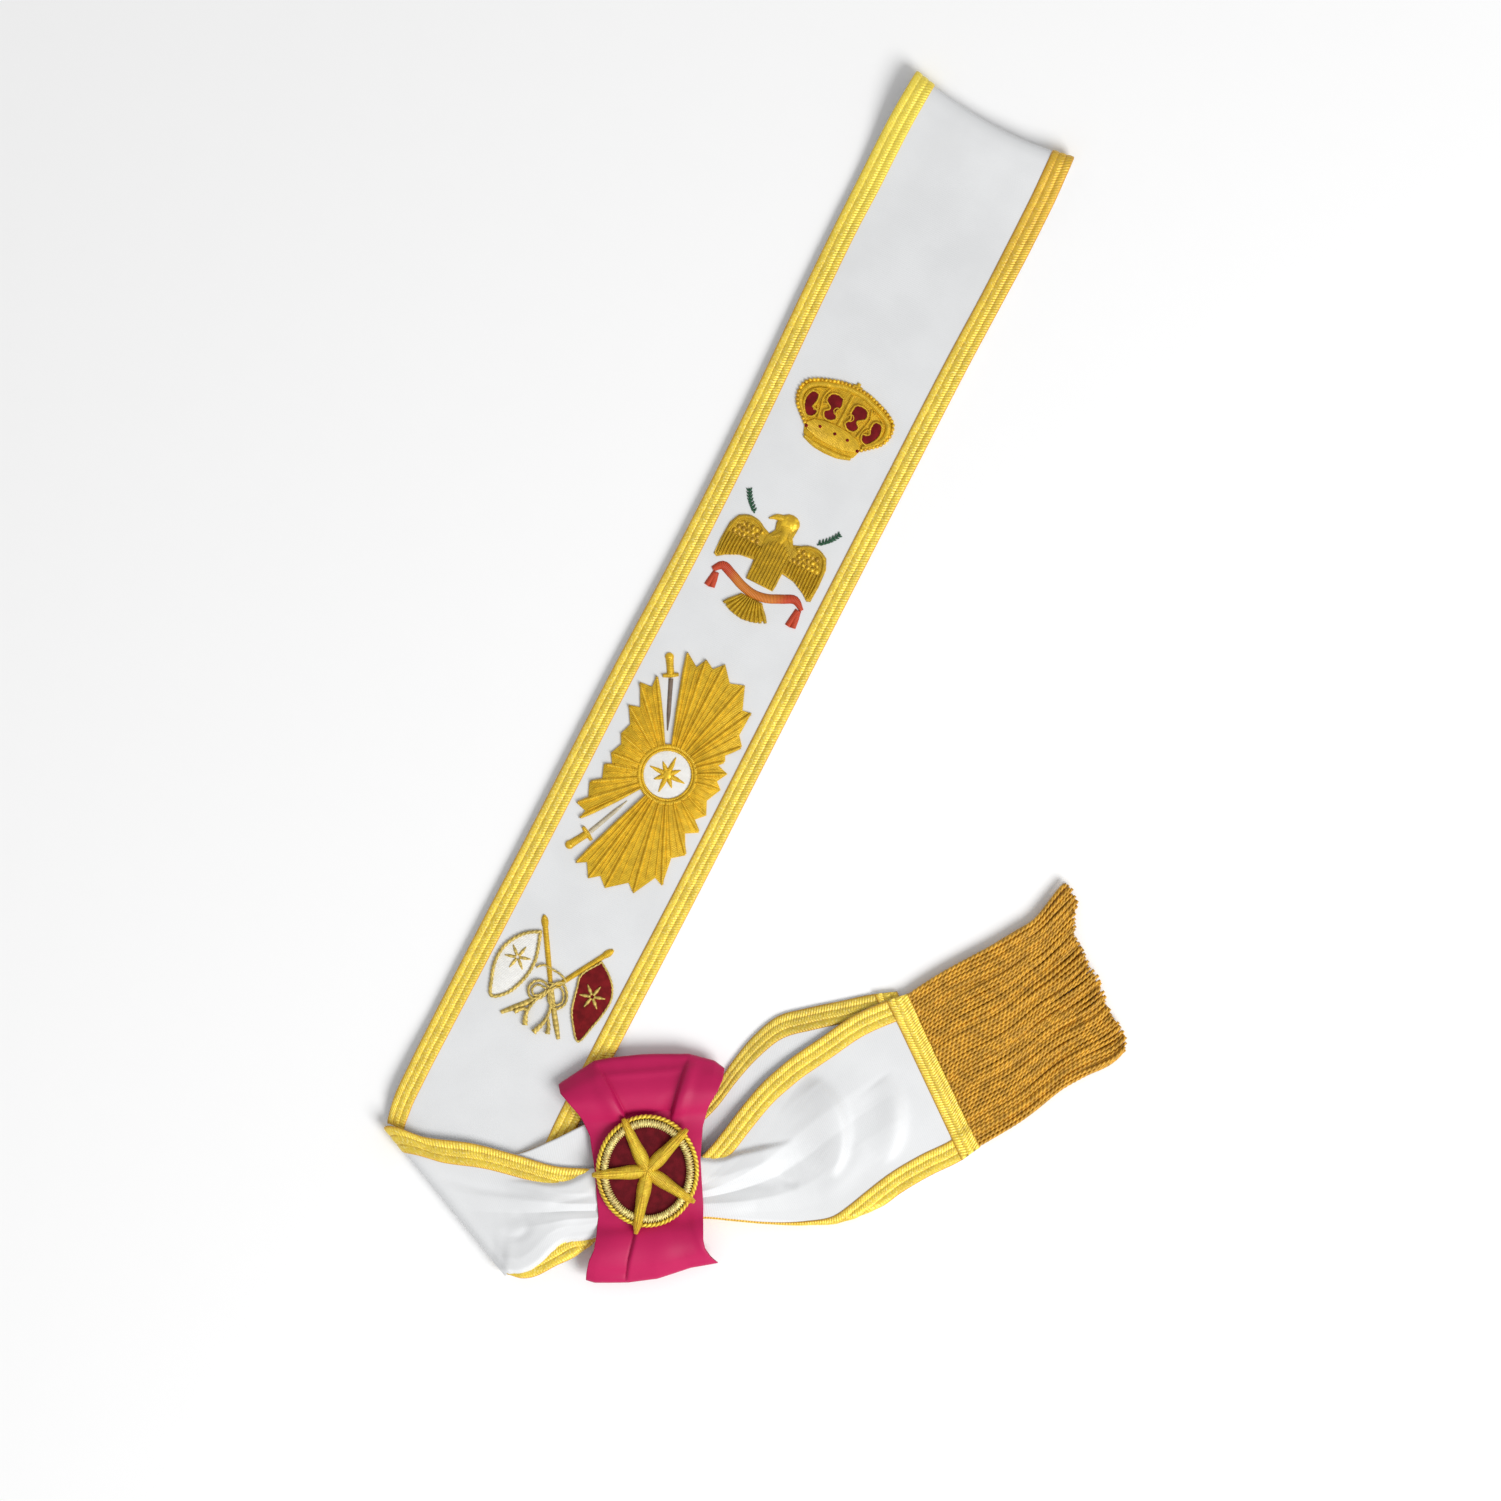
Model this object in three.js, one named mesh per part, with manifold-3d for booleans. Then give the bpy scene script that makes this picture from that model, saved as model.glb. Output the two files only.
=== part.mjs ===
// Regalia sash laid flat: a white ribbon loop with gold edge braid, folded to fringed tails,
// gathered under a satin bow with a round star badge. Millimetres, +Z up.
// The front half of the loop runs along +Y and everything rests on z = 0.
import * as THREE from 'three'
import Module from 'manifold-3d'

// Driving sizes, millimetres
const RIBBON_WIDTH = 102
const CLOTH_THICKNESS = 1.2
const BRAID_WIDTH = 13
const BRAID_THICKNESS = 1.0
const LAYER_GAP = 0.3
const CURL_RADIUS = 1.6
const CURL_GAP = 0.3
const FULL_CURL_TUCK = 9
const SHOULDER_EDGE_Y = 685.5
const SHOULDER_CONCAVITY = 5.5
const BOW_THICKNESS = 1.0
const BOW_CENTRE = [94.5, 67.0]
const BOW_TURN_DEG = 31.6
const BADGE_SEMI_AXES = [28.6, 31.4]
const BADGE_TURN_DEG = 26.9
const BADGE_BASE_Z = 14.9
const FRINGE_THICKNESS = 4.2
const UNDER_FRINGE_THICKNESS = 2.4

// Heights of the middle of the cloth where the sash lies flat, millimetres
const BACK_Z = BRAID_THICKNESS + LAYER_GAP + CLOTH_THICKNESS / 2
const FRONT_Z = BACK_Z + CLOTH_THICKNESS + 0.4
const UNDER_TAIL_Z = CLOTH_THICKNESS / 2
const MOTIF_BASE_Z = FRONT_Z + CLOTH_THICKNESS / 2 + LAYER_GAP

const HALF = RIBBON_WIDTH / 2
const INNER = HALF - BRAID_WIDTH
const BRAID_LOW = CLOTH_THICKNESS / 2 + LAYER_GAP
const BRAID_HIGH = BRAID_LOW + BRAID_THICKNESS

// Places across the cloth where its surface is sampled, millimetres from the middle
const ACROSS = [-HALF, -46.7, -42.3, -INNER, -28, -14, 0, 14, 28, INNER, 42.3, 46.7, HALF]
const RIPPLE = { '-28': 0.3, '-14': 1, '0': -0.4, '14': 0.8, '28': 0.2 }
const LAST = ACROSS.length - 1
const BRAID_COLUMNS = 3

// Cross rows of the cloth: x and y of both edges, height of both edges, cloth tucked under at the
// second edge, height of the gather ripples
const OVER_RUN = [
  [181.5, 223.0, 257.6, 163.8, 3.4, 3.4, 0, 0],
  [172.5, 213.6, 251.6, 152.0, 3.4, 3.4, 0, 0],
  [160.0, 198.5, 239.7, 136.1, 3.4, 3.5, 0, 0.3],
  [148.5, 178.0, 228.5, 118.5, 3.4, 4.2, 0, 0.6],
  [143.6, 169.2, 223.0, 110.2, 3.4, 4.7, 2.5, 0.7],
  [139.0, 160.8, 217.3, 102.7, 3.5, 5.2, 5, 0.8],
  [135.0, 151.8, 211.4, 95.6, 3.7, 5.7, 7.5, 0.9],
  [131.5, 143.0, 204.5, 89.2, 3.9, 5.9, 10.5, 1.0],
  [126.0, 122.0, 189.2, 80.5, 4.8, 6.2, 13, 1.4],
  [122.6, 104.0, 168.0, 70.6, 6.2, 7.0, 14, 1.6],
  [120.0, 93.0, 150.0, 63.5, 7.6, 8.0, 14, 1.4],
  [117.5, 86.3, 136.0, 58.0, 8.4, 8.6, 14, 1.0],
  [90.0, 71.0, 110.5, 38.0, 8.6, 8.6, 14, 0.8],
  [68.3, 54.4, 86.3, 18.8, 8.4, 8.3, 9, 1.0],
  [59.2, 50.2, 83.9, 13.4, 8.9, 8.6, 6, 1.3],
  [49.0, 45.9, 80.8, 8.3, 9.4, 9.0, 3, 1.6],
  [25.8, 41.2, 72.6, -5.3, 9.9, 10.0, 0, 1.2],
  [0.0, 35.8, 63.5, -17.0, 10.3, 11.0, 0, 0.6],
  [-28.0, 26.6, 57.6, -20.4, 10.3, 11.7, 0, 0.2],
]
const BACK_RUN = [
  [-51.5, 62.0, 48.5, 20.0, BACK_Z, BACK_Z, 0, 0],
  [-51.5, 110.0, 47.5, 104.0, BACK_Z, BACK_Z, 0, 0],
  [-50.5, 300.0, 48.5, 300.0, BACK_Z, BACK_Z, 0, 0],
  [-49.5, 480.0, 49.0, 480.0, BACK_Z, BACK_Z, 0, 0],
  [-51.0, 590.0, 50.5, 590.0, BACK_Z, BACK_Z, 0, 0],
]
const FRONT_RUN = [
  [-53.5, 600.0, 52.0, 600.0, FRONT_Z, FRONT_Z, 0, 0],
  [-53.0, 560.0, 51.0, 560.0, FRONT_Z, FRONT_Z, 0, 0],
  [-51.0, 484.0, 50.4, 484.0, FRONT_Z, FRONT_Z, 0, 0],
  [-50.5, 388.0, 49.9, 388.0, FRONT_Z, FRONT_Z, 0, 0],
  [-52.1, 311.0, 49.8, 311.0, FRONT_Z, FRONT_Z, 0, 0],
  [-52.6, 215.0, 49.5, 215.0, FRONT_Z, FRONT_Z, 0, 0],
  [-53.7, 118.0, 48.3, 113.0, FRONT_Z, FRONT_Z, 0, 0],
  [-53.8, 88.0, 48.0, 60.0, FRONT_Z, FRONT_Z, 0, 0],
  [-53.6, 58.0, 49.5, 16.0, FRONT_Z, FRONT_Z, 0, 0],
]
const UNDER_RUN = [
  [-20.0, 30.0, 59.2, -16.0, 8.2, 9.5, 0, 0],
  [22.2, 39.5, 68.8, -2.2, 8.0, 7.2, 0, 0.4],
  [38.7, 57.3, 76.4, 11.9, 8.4, 4.8, 0, 0.6],
  [53.9, 76.5, 84.0, 23.4, 7.8, 2.4, 0, 0.6],
  [66.0, 84.0, 94.0, 36.0, 4.5, 2.4, 0, 0.4],
]
const UNDER_TAIL = [
  [175.5, 221.0, 248.5, 163.5, UNDER_TAIL_Z, UNDER_TAIL_Z, 0, 0],
  [164.5, 213.8, 240.3, 152.5, UNDER_TAIL_Z, UNDER_TAIL_Z, 0, 0],
  [150.5, 202.6, 224.0, 133.0, UNDER_TAIL_Z, UNDER_TAIL_Z, 0, 0],
  [134.1, 189.4, 203.0, 111.5, UNDER_TAIL_Z, UNDER_TAIL_Z, 0, 0],
  [121.5, 178.0, 187.0, 98.0, UNDER_TAIL_Z, UNDER_TAIL_Z, 0, 0],
  [114.0, 161.5, 170.0, 88.5, UNDER_TAIL_Z, UNDER_TAIL_Z, 0, 0],
  [110.0, 144.0, 152.0, 79.5, UNDER_TAIL_Z, UNDER_TAIL_Z, 0, 0],
  [107.5, 127.0, 138.0, 73.0, UNDER_TAIL_Z, UNDER_TAIL_Z, 0, 0],
  [103.0, 112.0, 124.0, 70.0, UNDER_TAIL_Z, UNDER_TAIL_Z, 0, 0],
]

// Diagonal fold: the crease seen from above, at both edges of the cloth, and its bend radii
const CREASE = [[-50.6, 22.9], [50.6, -22.9]]
const OUTER_BEND = [4.2, 5.0]
const FOLD_STEPS = [-90, -60, -30, 0, 30, 60, 90]

// Loop at the shoulder: distance below the top edge and height of the middle of the cloth
const SHOULDER_PROFILE = [
  [60, 1.9], [16, 1.9], [4.8, 1.9], [1.41, 3.31], [0, 6.7], [1.41, 10.1],
  [4.8, 11.5], [12, 11.4], [25, 8.8], [42, 5.4], [62, 3.7],
]

const lerp = (a, b, t) => a + (b - a) * t
const degrees = (a) => a * Math.PI / 180

// Turns one table row into points across the cloth
function clothRow([upX, upY, lowX, lowY, upZ, lowZ, tuck, ripple]) {
  const width = Math.hypot(lowX - upX, lowY - upY)
  const across = new THREE.Vector3((lowX - upX) / width, (lowY - upY) / width, 0)
  const turn = Math.PI * Math.min(1, tuck / FULL_CURL_TUCK)
  const foldAt = HALF - tuck
  const end = width - CURL_RADIUS * Math.sin(Math.min(turn, Math.PI / 2))
  const seenBraid = Math.max(0, BRAID_WIDTH - tuck)
  const knots = [[-HALF, 0], [-INNER, BRAID_WIDTH], [Math.min(INNER, foldAt), end - seenBraid], [foldAt, end]]
  return ACROSS.map((b) => {
    let shift = end
    let drop = 0
    if (b <= foldAt) {
      const next = Math.max(1, knots.findIndex(([at]) => b <= at))
      const [from, fromShift] = knots[next - 1]
      const [to, toShift] = knots[next]
      shift = to > from ? lerp(fromShift, toShift, (b - from) / (to - from)) : toShift
    } else {
      const run = b - foldAt
      const angle = Math.min(run / CURL_RADIUS, turn)
      const rest = run - angle * CURL_RADIUS
      shift += CURL_RADIUS * Math.sin(angle) + rest * Math.cos(angle)
      drop = CURL_RADIUS * (1 - Math.cos(angle)) + rest * Math.sin(angle)
    }
    const z = lerp(upZ, lowZ, Math.min(1, shift / width)) + (RIPPLE[String(b)] ?? 0) * ripple - drop
    return new THREE.Vector3(upX, upY, z).addScaledVector(across, shift)
  })
}

// Rows round the diagonal fold, from the lower layer at lowZ to the layer above it
function foldRows(inset, lowZ) {
  const along = new THREE.Vector2(CREASE[1][0] - CREASE[0][0], CREASE[1][1] - CREASE[0][1]).normalize()
  const outward = new THREE.Vector2(along.y, -along.x)
  return FOLD_STEPS.map((step) => ACROSS.map((b) => {
    const t = (b + HALF) / RIBBON_WIDTH
    const radius = lerp(OUTER_BEND[0], OUTER_BEND[1], t) - inset
    const reach = radius * Math.cos(degrees(step)) - radius - inset
    const x = lerp(CREASE[0][0], CREASE[1][0], t) + outward.x * reach
    const y = lerp(CREASE[0][1], CREASE[1][1], t) + outward.y * reach
    return new THREE.Vector3(x, y, lowZ + radius * (1 + Math.sin(degrees(step))))
  }))
}

// Rows of the soft loop at the shoulder, from the back half over to the front half
function shoulderRows() {
  return SHOULDER_PROFILE.map(([below, z], i) => {
    const front = i >= 4
    const left = front ? lerp(-48.9, -53.5, Math.min(1, below / 30)) : -49.0
    const right = front ? lerp(49.9, 52.6, Math.min(1, below / 30)) : 49.6
    return ACROSS.map((b) => {
      const t = (b + HALF) / RIBBON_WIDTH
      const hollow = SHOULDER_CONCAVITY * (b / HALF) ** 2 * (1 - below / 100)
      return new THREE.Vector3(lerp(left, right, t), SHOULDER_EDGE_Y + hollow - below, z)
    })
  })
}

// Normals of a grid of points, on the outside face of the cloth
function gridNormals(rows) {
  return rows.map((row, i) => row.map((_, j) => {
    const along = rows[Math.min(i + 1, rows.length - 1)][j].clone().sub(rows[Math.max(i - 1, 0)][j])
    const across = row[Math.min(j + 1, LAST)].clone().sub(row[Math.max(j - 1, 0)])
    return along.cross(across).normalize()
  }))
}

function geometry(points, faces) {
  const result = new THREE.BufferGeometry()
  result.setAttribute('position', new THREE.Float32BufferAttribute(points.flatMap((p) => [p.x, p.y, p.z]), 3))
  result.setIndex(faces.flat())
  return result
}

// Closed solid between two grids of points that face each other; top is on the outside
function slabBetween(top, bottom) {
  const rowCount = top.length
  const columnCount = top[0].length
  const points = [...top.flat(), ...bottom.flat()]
  const at = (layer, i, j) => layer * rowCount * columnCount + i * columnCount + j
  const faces = []
  const quad = (a, b, c, d) => faces.push([a, b, c], [a, c, d])
  for (let i = 0; i + 1 < rowCount; i += 1) {
    for (let j = 0; j + 1 < columnCount; j += 1) {
      quad(at(0, i, j), at(0, i + 1, j), at(0, i + 1, j + 1), at(0, i, j + 1))
      quad(at(1, i, j), at(1, i, j + 1), at(1, i + 1, j + 1), at(1, i + 1, j))
    }
    quad(at(1, i, 0), at(1, i + 1, 0), at(0, i + 1, 0), at(0, i, 0))
    const j = columnCount - 1
    quad(at(0, i, j), at(0, i + 1, j), at(1, i + 1, j), at(1, i, j))
  }
  for (let j = 0; j + 1 < columnCount; j += 1) {
    quad(at(0, 0, j), at(0, 0, j + 1), at(1, 0, j + 1), at(1, 0, j))
    const i = rowCount - 1
    quad(at(1, i, j), at(1, i, j + 1), at(0, i, j + 1), at(0, i, j))
  }
  return geometry(points, faces)
}

const wasm = await Module()
wasm.setup()

const toSolid = (shape) => new wasm.Manifold(new wasm.Mesh({
  numProp: 3,
  vertProperties: shape.getAttribute('position').array,
  triVerts: new Uint32Array(shape.getIndex().array),
}))

// One shape less some others, as its largest body
function trimmed(shape, ...cutters) {
  const bodies = cutters.reduce((rest, cutter) => rest.subtract(toSolid(cutter)), toSolid(shape)).decompose()
  const largest = bodies.reduce((a, b) => (b.volume() > a.volume() ? b : a)).getMesh()
  const result = new THREE.BufferGeometry()
  result.setAttribute('position', new THREE.Float32BufferAttribute(largest.vertProperties, 3))
  result.setIndex([...largest.triVerts])
  return result
}

// Cloth that would sink into the table lies on it instead
const onTable = (point) => point.setZ(Math.max(point.z, 0))

// Sheet with an outside face, from which every strip on the cloth is taken
class Cloth {
  constructor(rows) {
    this.rows = rows
    this.normals = gridNormals(rows)
    // Braid stands off a little further where the edge curls under
    this.standOff = rows.map((row) => (row[LAST].z < row[LAST - BRAID_COLUMNS].z - 1 ? CURL_GAP : 0))
  }

  slab(low, high, firstColumn = 0, lastColumn = LAST, firstRow = 0, lastRow = this.rows.length - 1) {
    const layer = (height) => this.rows.slice(firstRow, lastRow + 1).map((row, i) => (
      row.slice(firstColumn, lastColumn + 1).map((p, j) => (
        onTable(p.clone().addScaledVector(this.normals[firstRow + i][firstColumn + j], height + (
          low > 0 ? this.standOff[firstRow + i] : 0
        )))
      ))
    ))
    return slabBetween(layer(high), layer(low))
  }
}

// Braid across the end of a tail, between its two side braids
function endBraid(cloth) {
  const inset = 0.4
  const rows = cloth.rows.slice(0, 2).map((row) => {
    const strip = row.slice(BRAID_COLUMNS, LAST - BRAID_COLUMNS + 1).map((p) => p.clone())
    const step = strip.at(-1).clone().sub(strip[0]).normalize().multiplyScalar(inset)
    strip[0].add(step)
    strip.at(-1).sub(step)
    return strip
  })
  const layer = (height) => rows.map((row) => row.map((p) => p.clone().setZ(p.z + height)))
  return slabBetween(layer(BRAID_HIGH), layer(BRAID_LOW))
}

function mainCloth() {
  const outer = foldRows(0, BACK_Z)
  const inner = foldRows(1.65, FRONT_Z)
  return new Cloth([
    ...OVER_RUN.map(clothRow),
    ...outer.reverse(),
    ...BACK_RUN.map(clothRow),
    ...shoulderRows(),
    ...FRONT_RUN.map(clothRow),
    ...inner,
    ...UNDER_RUN.map(clothRow),
  ])
}

// Strip of locks leaving an end braid, ragged at its free end
function fringe(from, to, lowZ, thickness, lengths, locks, steps) {
  const columns = locks * 2
  const top = []
  const bottom = []
  for (let i = 0; i <= steps; i += 1) {
    const s = i / steps
    const topRow = []
    const bottomRow = []
    for (let j = 0; j <= columns; j += 1) {
      const t = j / columns
      const ragged = 1.5 * Math.sin(j * 2.4) + 1.5 * Math.sin(j * 1.1 + 1)
      const length = lerp(lengths[0], lengths[1], t) + ragged
      const turn = degrees(lerp(57, 65, s))
      const x = lerp(from[0], to[0], t) + length * s * Math.cos(turn)
      const y = lerp(from[1], to[1], t) + length * s * Math.sin(turn)
      const ridge = (j % 2 ? 0 : 0.5) * thickness / 4
      const body = thickness * (0.62 + 0.38 * Math.sin(Math.PI * Math.min(1, s * 1.15 + 0.12)))
      topRow.push(new THREE.Vector3(x, y, lowZ + body - 0.1 * thickness - ridge))
      bottomRow.push(new THREE.Vector3(x, y, lowZ))
    }
    top.push(topRow)
    bottom.push(bottomRow)
  }
  return slabBetween(top.map((row) => row.reverse()), bottom.map((row) => row.reverse()))
}

// Bow in its own frame: across the bow, along the bow, height of the middle of the satin
const BOW_PATH = [
  [8, 11.4], [28, 11.3], [44, 10.2], [56, 8.8], [61.5, 8.2], [64.4, 9.3], [65.2, 11.5], [64.2, 14],
  [60.5, 16.2], [52, 18.3], [42, 18.9], [35, 17.0], [29.5, 13.8], [12, 13.6], [-12, 13.6], [-29.5, 13.8],
  [-36, 17.0], [-44, 18.4], [-52, 17.2], [-58, 14.6], [-61.6, 12], [-62.7, 9.7], [-61, 7.9], [-56, 8.2],
  [-44, 11.2], [-28, 11.3], [-8, 11.4],
]
const BOW_WIDTHS = [
  [-63, -39, 36], [-56, -39.5, 35], [-50, -38, 32], [-35, -32.7, 30.5], [-21, -30, 31], [-3, -28.8, 30.2],
  [18, -28.8, 31.5], [30, -33.5, 33.5], [41, -40, 39], [53, -46.2, 45], [66, -46.2, 45],
]
const BOW_ACROSS = [-1, -0.72, -0.44, -0.3, -0.16, 0.04, 0.24, 0.38, 0.52, 0.76, 1]
const BOW_PLEAT = [0, 0.35, 0.8, 0.3, -0.8, -1, -0.8, 0.3, 0.8, 0.35, 0]
const BOW_END_BULGE = 12.5

function fromTable(table, at) {
  const next = Math.max(1, table.findIndex(([key]) => at <= key))
  const t = (at - table[next - 1][0]) / (table[next][0] - table[next - 1][0])
  return table[next].slice(1).map((value, i) => lerp(table[next - 1][i + 1], value, t))
}

function bowRows() {
  const cos = Math.cos(degrees(BOW_TURN_DEG))
  const sin = Math.sin(degrees(BOW_TURN_DEG))
  return BOW_PATH.map(([along, z], i) => {
    const [left, right] = fromTable(BOW_WIDTHS, along)
    const bulge = BOW_END_BULGE * Math.max(0, (Math.abs(along) - 30) / 35) * (along > 0 ? 1 : 0.45)
    const onTop = i > 8 && i < 19
    const pleat = onTop ? 1.3 * Math.min(1, Math.max(0, (Math.abs(along) - 29) / 10)) : 0
    return BOW_ACROSS.map((t, j) => {
      const u = t < 0 ? -t * left : t * right
      const v = along - Math.sign(along) * bulge * Math.abs(t) ** 2.4
      const height = z + BOW_PLEAT[j] * pleat - (onTop ? 1.2 * t ** 4 : 0)
      return new THREE.Vector3(BOW_CENTRE[0] + u * cos - v * sin, BOW_CENTRE[1] + u * sin + v * cos, height)
    })
  })
}

function bow() {
  const rows = bowRows()
  const normals = rows.map((row, i) => row.map((_, j) => {
    const along = rows[Math.min(i + 1, rows.length - 1)][j].clone().sub(rows[Math.max(i - 1, 0)][j])
    const across = row[Math.min(j + 1, row.length - 1)].clone().sub(row[Math.max(j - 1, 0)])
    return along.cross(across).normalize()
  }))
  const layer = (height) => rows.map((row, i) => row.map((p, j) => (
    p.clone().addScaledVector(normals[i][j], height)
  )))
  return slabBetween(layer(BOW_THICKNESS / 2), layer(-BOW_THICKNESS / 2))
}

// Oval body of the badge: a closed profile of offsets from the oval and heights, swept round it
function ovalBand(profile, segments) {
  const turn = degrees(BADGE_TURN_DEG)
  const points = []
  const faces = []
  for (let i = 0; i < segments; i += 1) {
    const angle = i / segments * 2 * Math.PI
    for (const [offset, z] of profile) {
      const x = (BADGE_SEMI_AXES[0] + offset) * Math.cos(angle)
      const y = (BADGE_SEMI_AXES[1] + offset) * Math.sin(angle)
      points.push(new THREE.Vector3(
        BOW_CENTRE[0] + x * Math.cos(turn) - y * Math.sin(turn),
        BOW_CENTRE[1] + x * Math.sin(turn) + y * Math.cos(turn),
        BADGE_BASE_Z + z,
      ))
    }
  }
  const count = profile.length
  for (let i = 0; i < segments; i += 1) {
    const next = (i + 1) % segments
    for (let k = 0; k < count; k += 1) {
      const up = (k + 1) % count
      const a = i * count + k
      const b = next * count + k
      const c = next * count + up
      const d = i * count + up
      faces.push([a, b, c], [a, c, d])
    }
  }
  return geometry(points, faces)
}

// Domed oval plate of the badge
function ovalPlate(rim, thickness, dome, segments) {
  const turn = degrees(BADGE_TURN_DEG)
  const rings = [[rim, 0], [rim, thickness], [rim * 0.6, thickness + dome * 0.7]]
  const points = [
    new THREE.Vector3(BOW_CENTRE[0], BOW_CENTRE[1], BADGE_BASE_Z),
    new THREE.Vector3(BOW_CENTRE[0], BOW_CENTRE[1], BADGE_BASE_Z + thickness + dome),
  ]
  const faces = []
  for (const [share, z] of rings) {
    for (let i = 0; i < segments; i += 1) {
      const angle = i / segments * 2 * Math.PI
      const x = BADGE_SEMI_AXES[0] * share * Math.cos(angle)
      const y = BADGE_SEMI_AXES[1] * share * Math.sin(angle)
      points.push(new THREE.Vector3(
        BOW_CENTRE[0] + x * Math.cos(turn) - y * Math.sin(turn),
        BOW_CENTRE[1] + x * Math.sin(turn) + y * Math.cos(turn),
        BADGE_BASE_Z + z,
      ))
    }
  }
  for (let i = 0; i < segments; i += 1) {
    const next = (i + 1) % segments
    faces.push([0, 2 + next, 2 + i])
    for (let ring = 0; ring + 1 < rings.length; ring += 1) {
      const low = 2 + ring * segments
      const high = low + segments
      faces.push([low + i, low + next, high + next], [low + i, high + next, high + i])
    }
    const last = 2 + (rings.length - 1) * segments
    faces.push([1, last + i, last + next])
  }
  return geometry(points, faces)
}

// Star of ridged, spear-shaped arms; stations along an arm: radius, half width, ridge height
const STAR_ARMS = 5
const STAR_FIRST_ARM_DEG = 69
const STAR_VALLEY_RADIUS = 7
const STAR_STATIONS = [[10, 3.2, 2.3], [14.5, 4.2, 2.6], [18.5, 2.3, 2.0], [23.5, 4.6, 2.4], [28, 3.0, 1.8]]
const STAR_TIP_RADIUS = 33
const STAR_EDGE_HEIGHT = 0.9

function star(baseZ) {
  const points = []
  const faces = []
  const add = (radius, angle, side, z) => {
    const cos = Math.cos(angle)
    const sin = Math.sin(angle)
    points.push(new THREE.Vector3(
      BOW_CENTRE[0] + radius * cos - side * sin, BOW_CENTRE[1] + radius * sin + side * cos, z,
    ))
    return points.length - 1
  }
  const centre = [add(0, 0, 0, baseZ), add(0, 0, 0, baseZ + 3)]
  const valleys = []
  for (let k = 0; k < STAR_ARMS; k += 1) {
    const angle = degrees(STAR_FIRST_ARM_DEG + (k + 0.5) * 360 / STAR_ARMS)
    valleys.push([baseZ, baseZ + STAR_EDGE_HEIGHT].map((z) => add(STAR_VALLEY_RADIUS, angle, 0, z)))
  }
  for (let k = 0; k < STAR_ARMS; k += 1) {
    const angle = degrees(STAR_FIRST_ARM_DEG + k * 360 / STAR_ARMS)
    const tip = [baseZ, baseZ + STAR_EDGE_HEIGHT].map((z) => add(STAR_TIP_RADIUS, angle, 0, z))
    const ridge = STAR_STATIONS.map(([radius, , height]) => (
      [baseZ, baseZ + height].map((z) => add(radius, angle, 0, z))
    ))
    for (const side of [1, -1]) {
      const valley = valleys[(k + (side > 0 ? 0 : STAR_ARMS - 1)) % STAR_ARMS]
      const rim = STAR_STATIONS.map(([radius, half]) => (
        [baseZ, baseZ + STAR_EDGE_HEIGHT].map((z) => add(radius, angle, side * half, z))
      ))
      const edge = [valley, ...rim, tip]
      const spine = [centre, ...ridge, tip]
      for (let i = 0; i + 1 < edge.length; i += 1) {
        const loops = [
          [spine[i][1], spine[i + 1][1], edge[i + 1][1], edge[i][1]],
          [edge[i][0], edge[i + 1][0], spine[i + 1][0], spine[i][0]],
          [edge[i][1], edge[i + 1][1], edge[i + 1][0], edge[i][0]],
        ]
        for (const loop of loops) {
          const [a, b, c, d] = side > 0 ? loop : [...loop].reverse()
          if (a !== b && b !== c && a !== c) faces.push([a, b, c])
          if (a !== c && c !== d && a !== d) faces.push([a, c, d])
        }
      }
    }
  }
  return geometry(points, faces)
}

// Flat motif: an outline with holes, raised on the front half
function motif(outline, height, holes = [], baseZ = MOTIF_BASE_Z) {
  const shape = new THREE.Shape(outline.map(([x, y]) => new THREE.Vector2(x, y)))
  for (const hole of holes) shape.holes.push(new THREE.Path(hole.map(([x, y]) => new THREE.Vector2(x, y))))
  const result = new THREE.ExtrudeGeometry(shape, { depth: height, bevelEnabled: false })
  result.translate(0, 0, baseZ)
  return result
}

const mirrored = (half) => [...half, ...half.filter(([x]) => x !== 0).map(([x, y]) => [-x, y]).reverse()]
const flipped = (outline) => outline.map(([x, y]) => [-x, y]).reverse()

function circle([x, y], radius, count, start = 0) {
  return Array.from({ length: count }, (_, i) => {
    const angle = start + i / count * 2 * Math.PI
    return [x + radius * Math.cos(angle), y + radius * Math.sin(angle)]
  })
}

// Outline moved towards its middle, so that a piece clears the hole it sits in
function shrunk(outline, by) {
  const middle = outline.reduce(([sx, sy], [x, y]) => [sx + x / outline.length, sy + y / outline.length], [0, 0])
  return outline.map(([x, y]) => {
    const distance = Math.hypot(x - middle[0], y - middle[1])
    const share = (distance - by) / distance
    return [middle[0] + (x - middle[0]) * share, middle[1] + (y - middle[1]) * share]
  })
}

// A bar from one point to another, with a half width at each end
function bar([x0, y0], [x1, y1], half0, half1 = half0) {
  const length = Math.hypot(x1 - x0, y1 - y0)
  const nx = -(y1 - y0) / length
  const ny = (x1 - x0) / length
  return [
    [x0 - nx * half0, y0 - ny * half0], [x1 - nx * half1, y1 - ny * half1],
    [x1 + nx * half1, y1 + ny * half1], [x0 + nx * half0, y0 + ny * half0],
  ]
}

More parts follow.
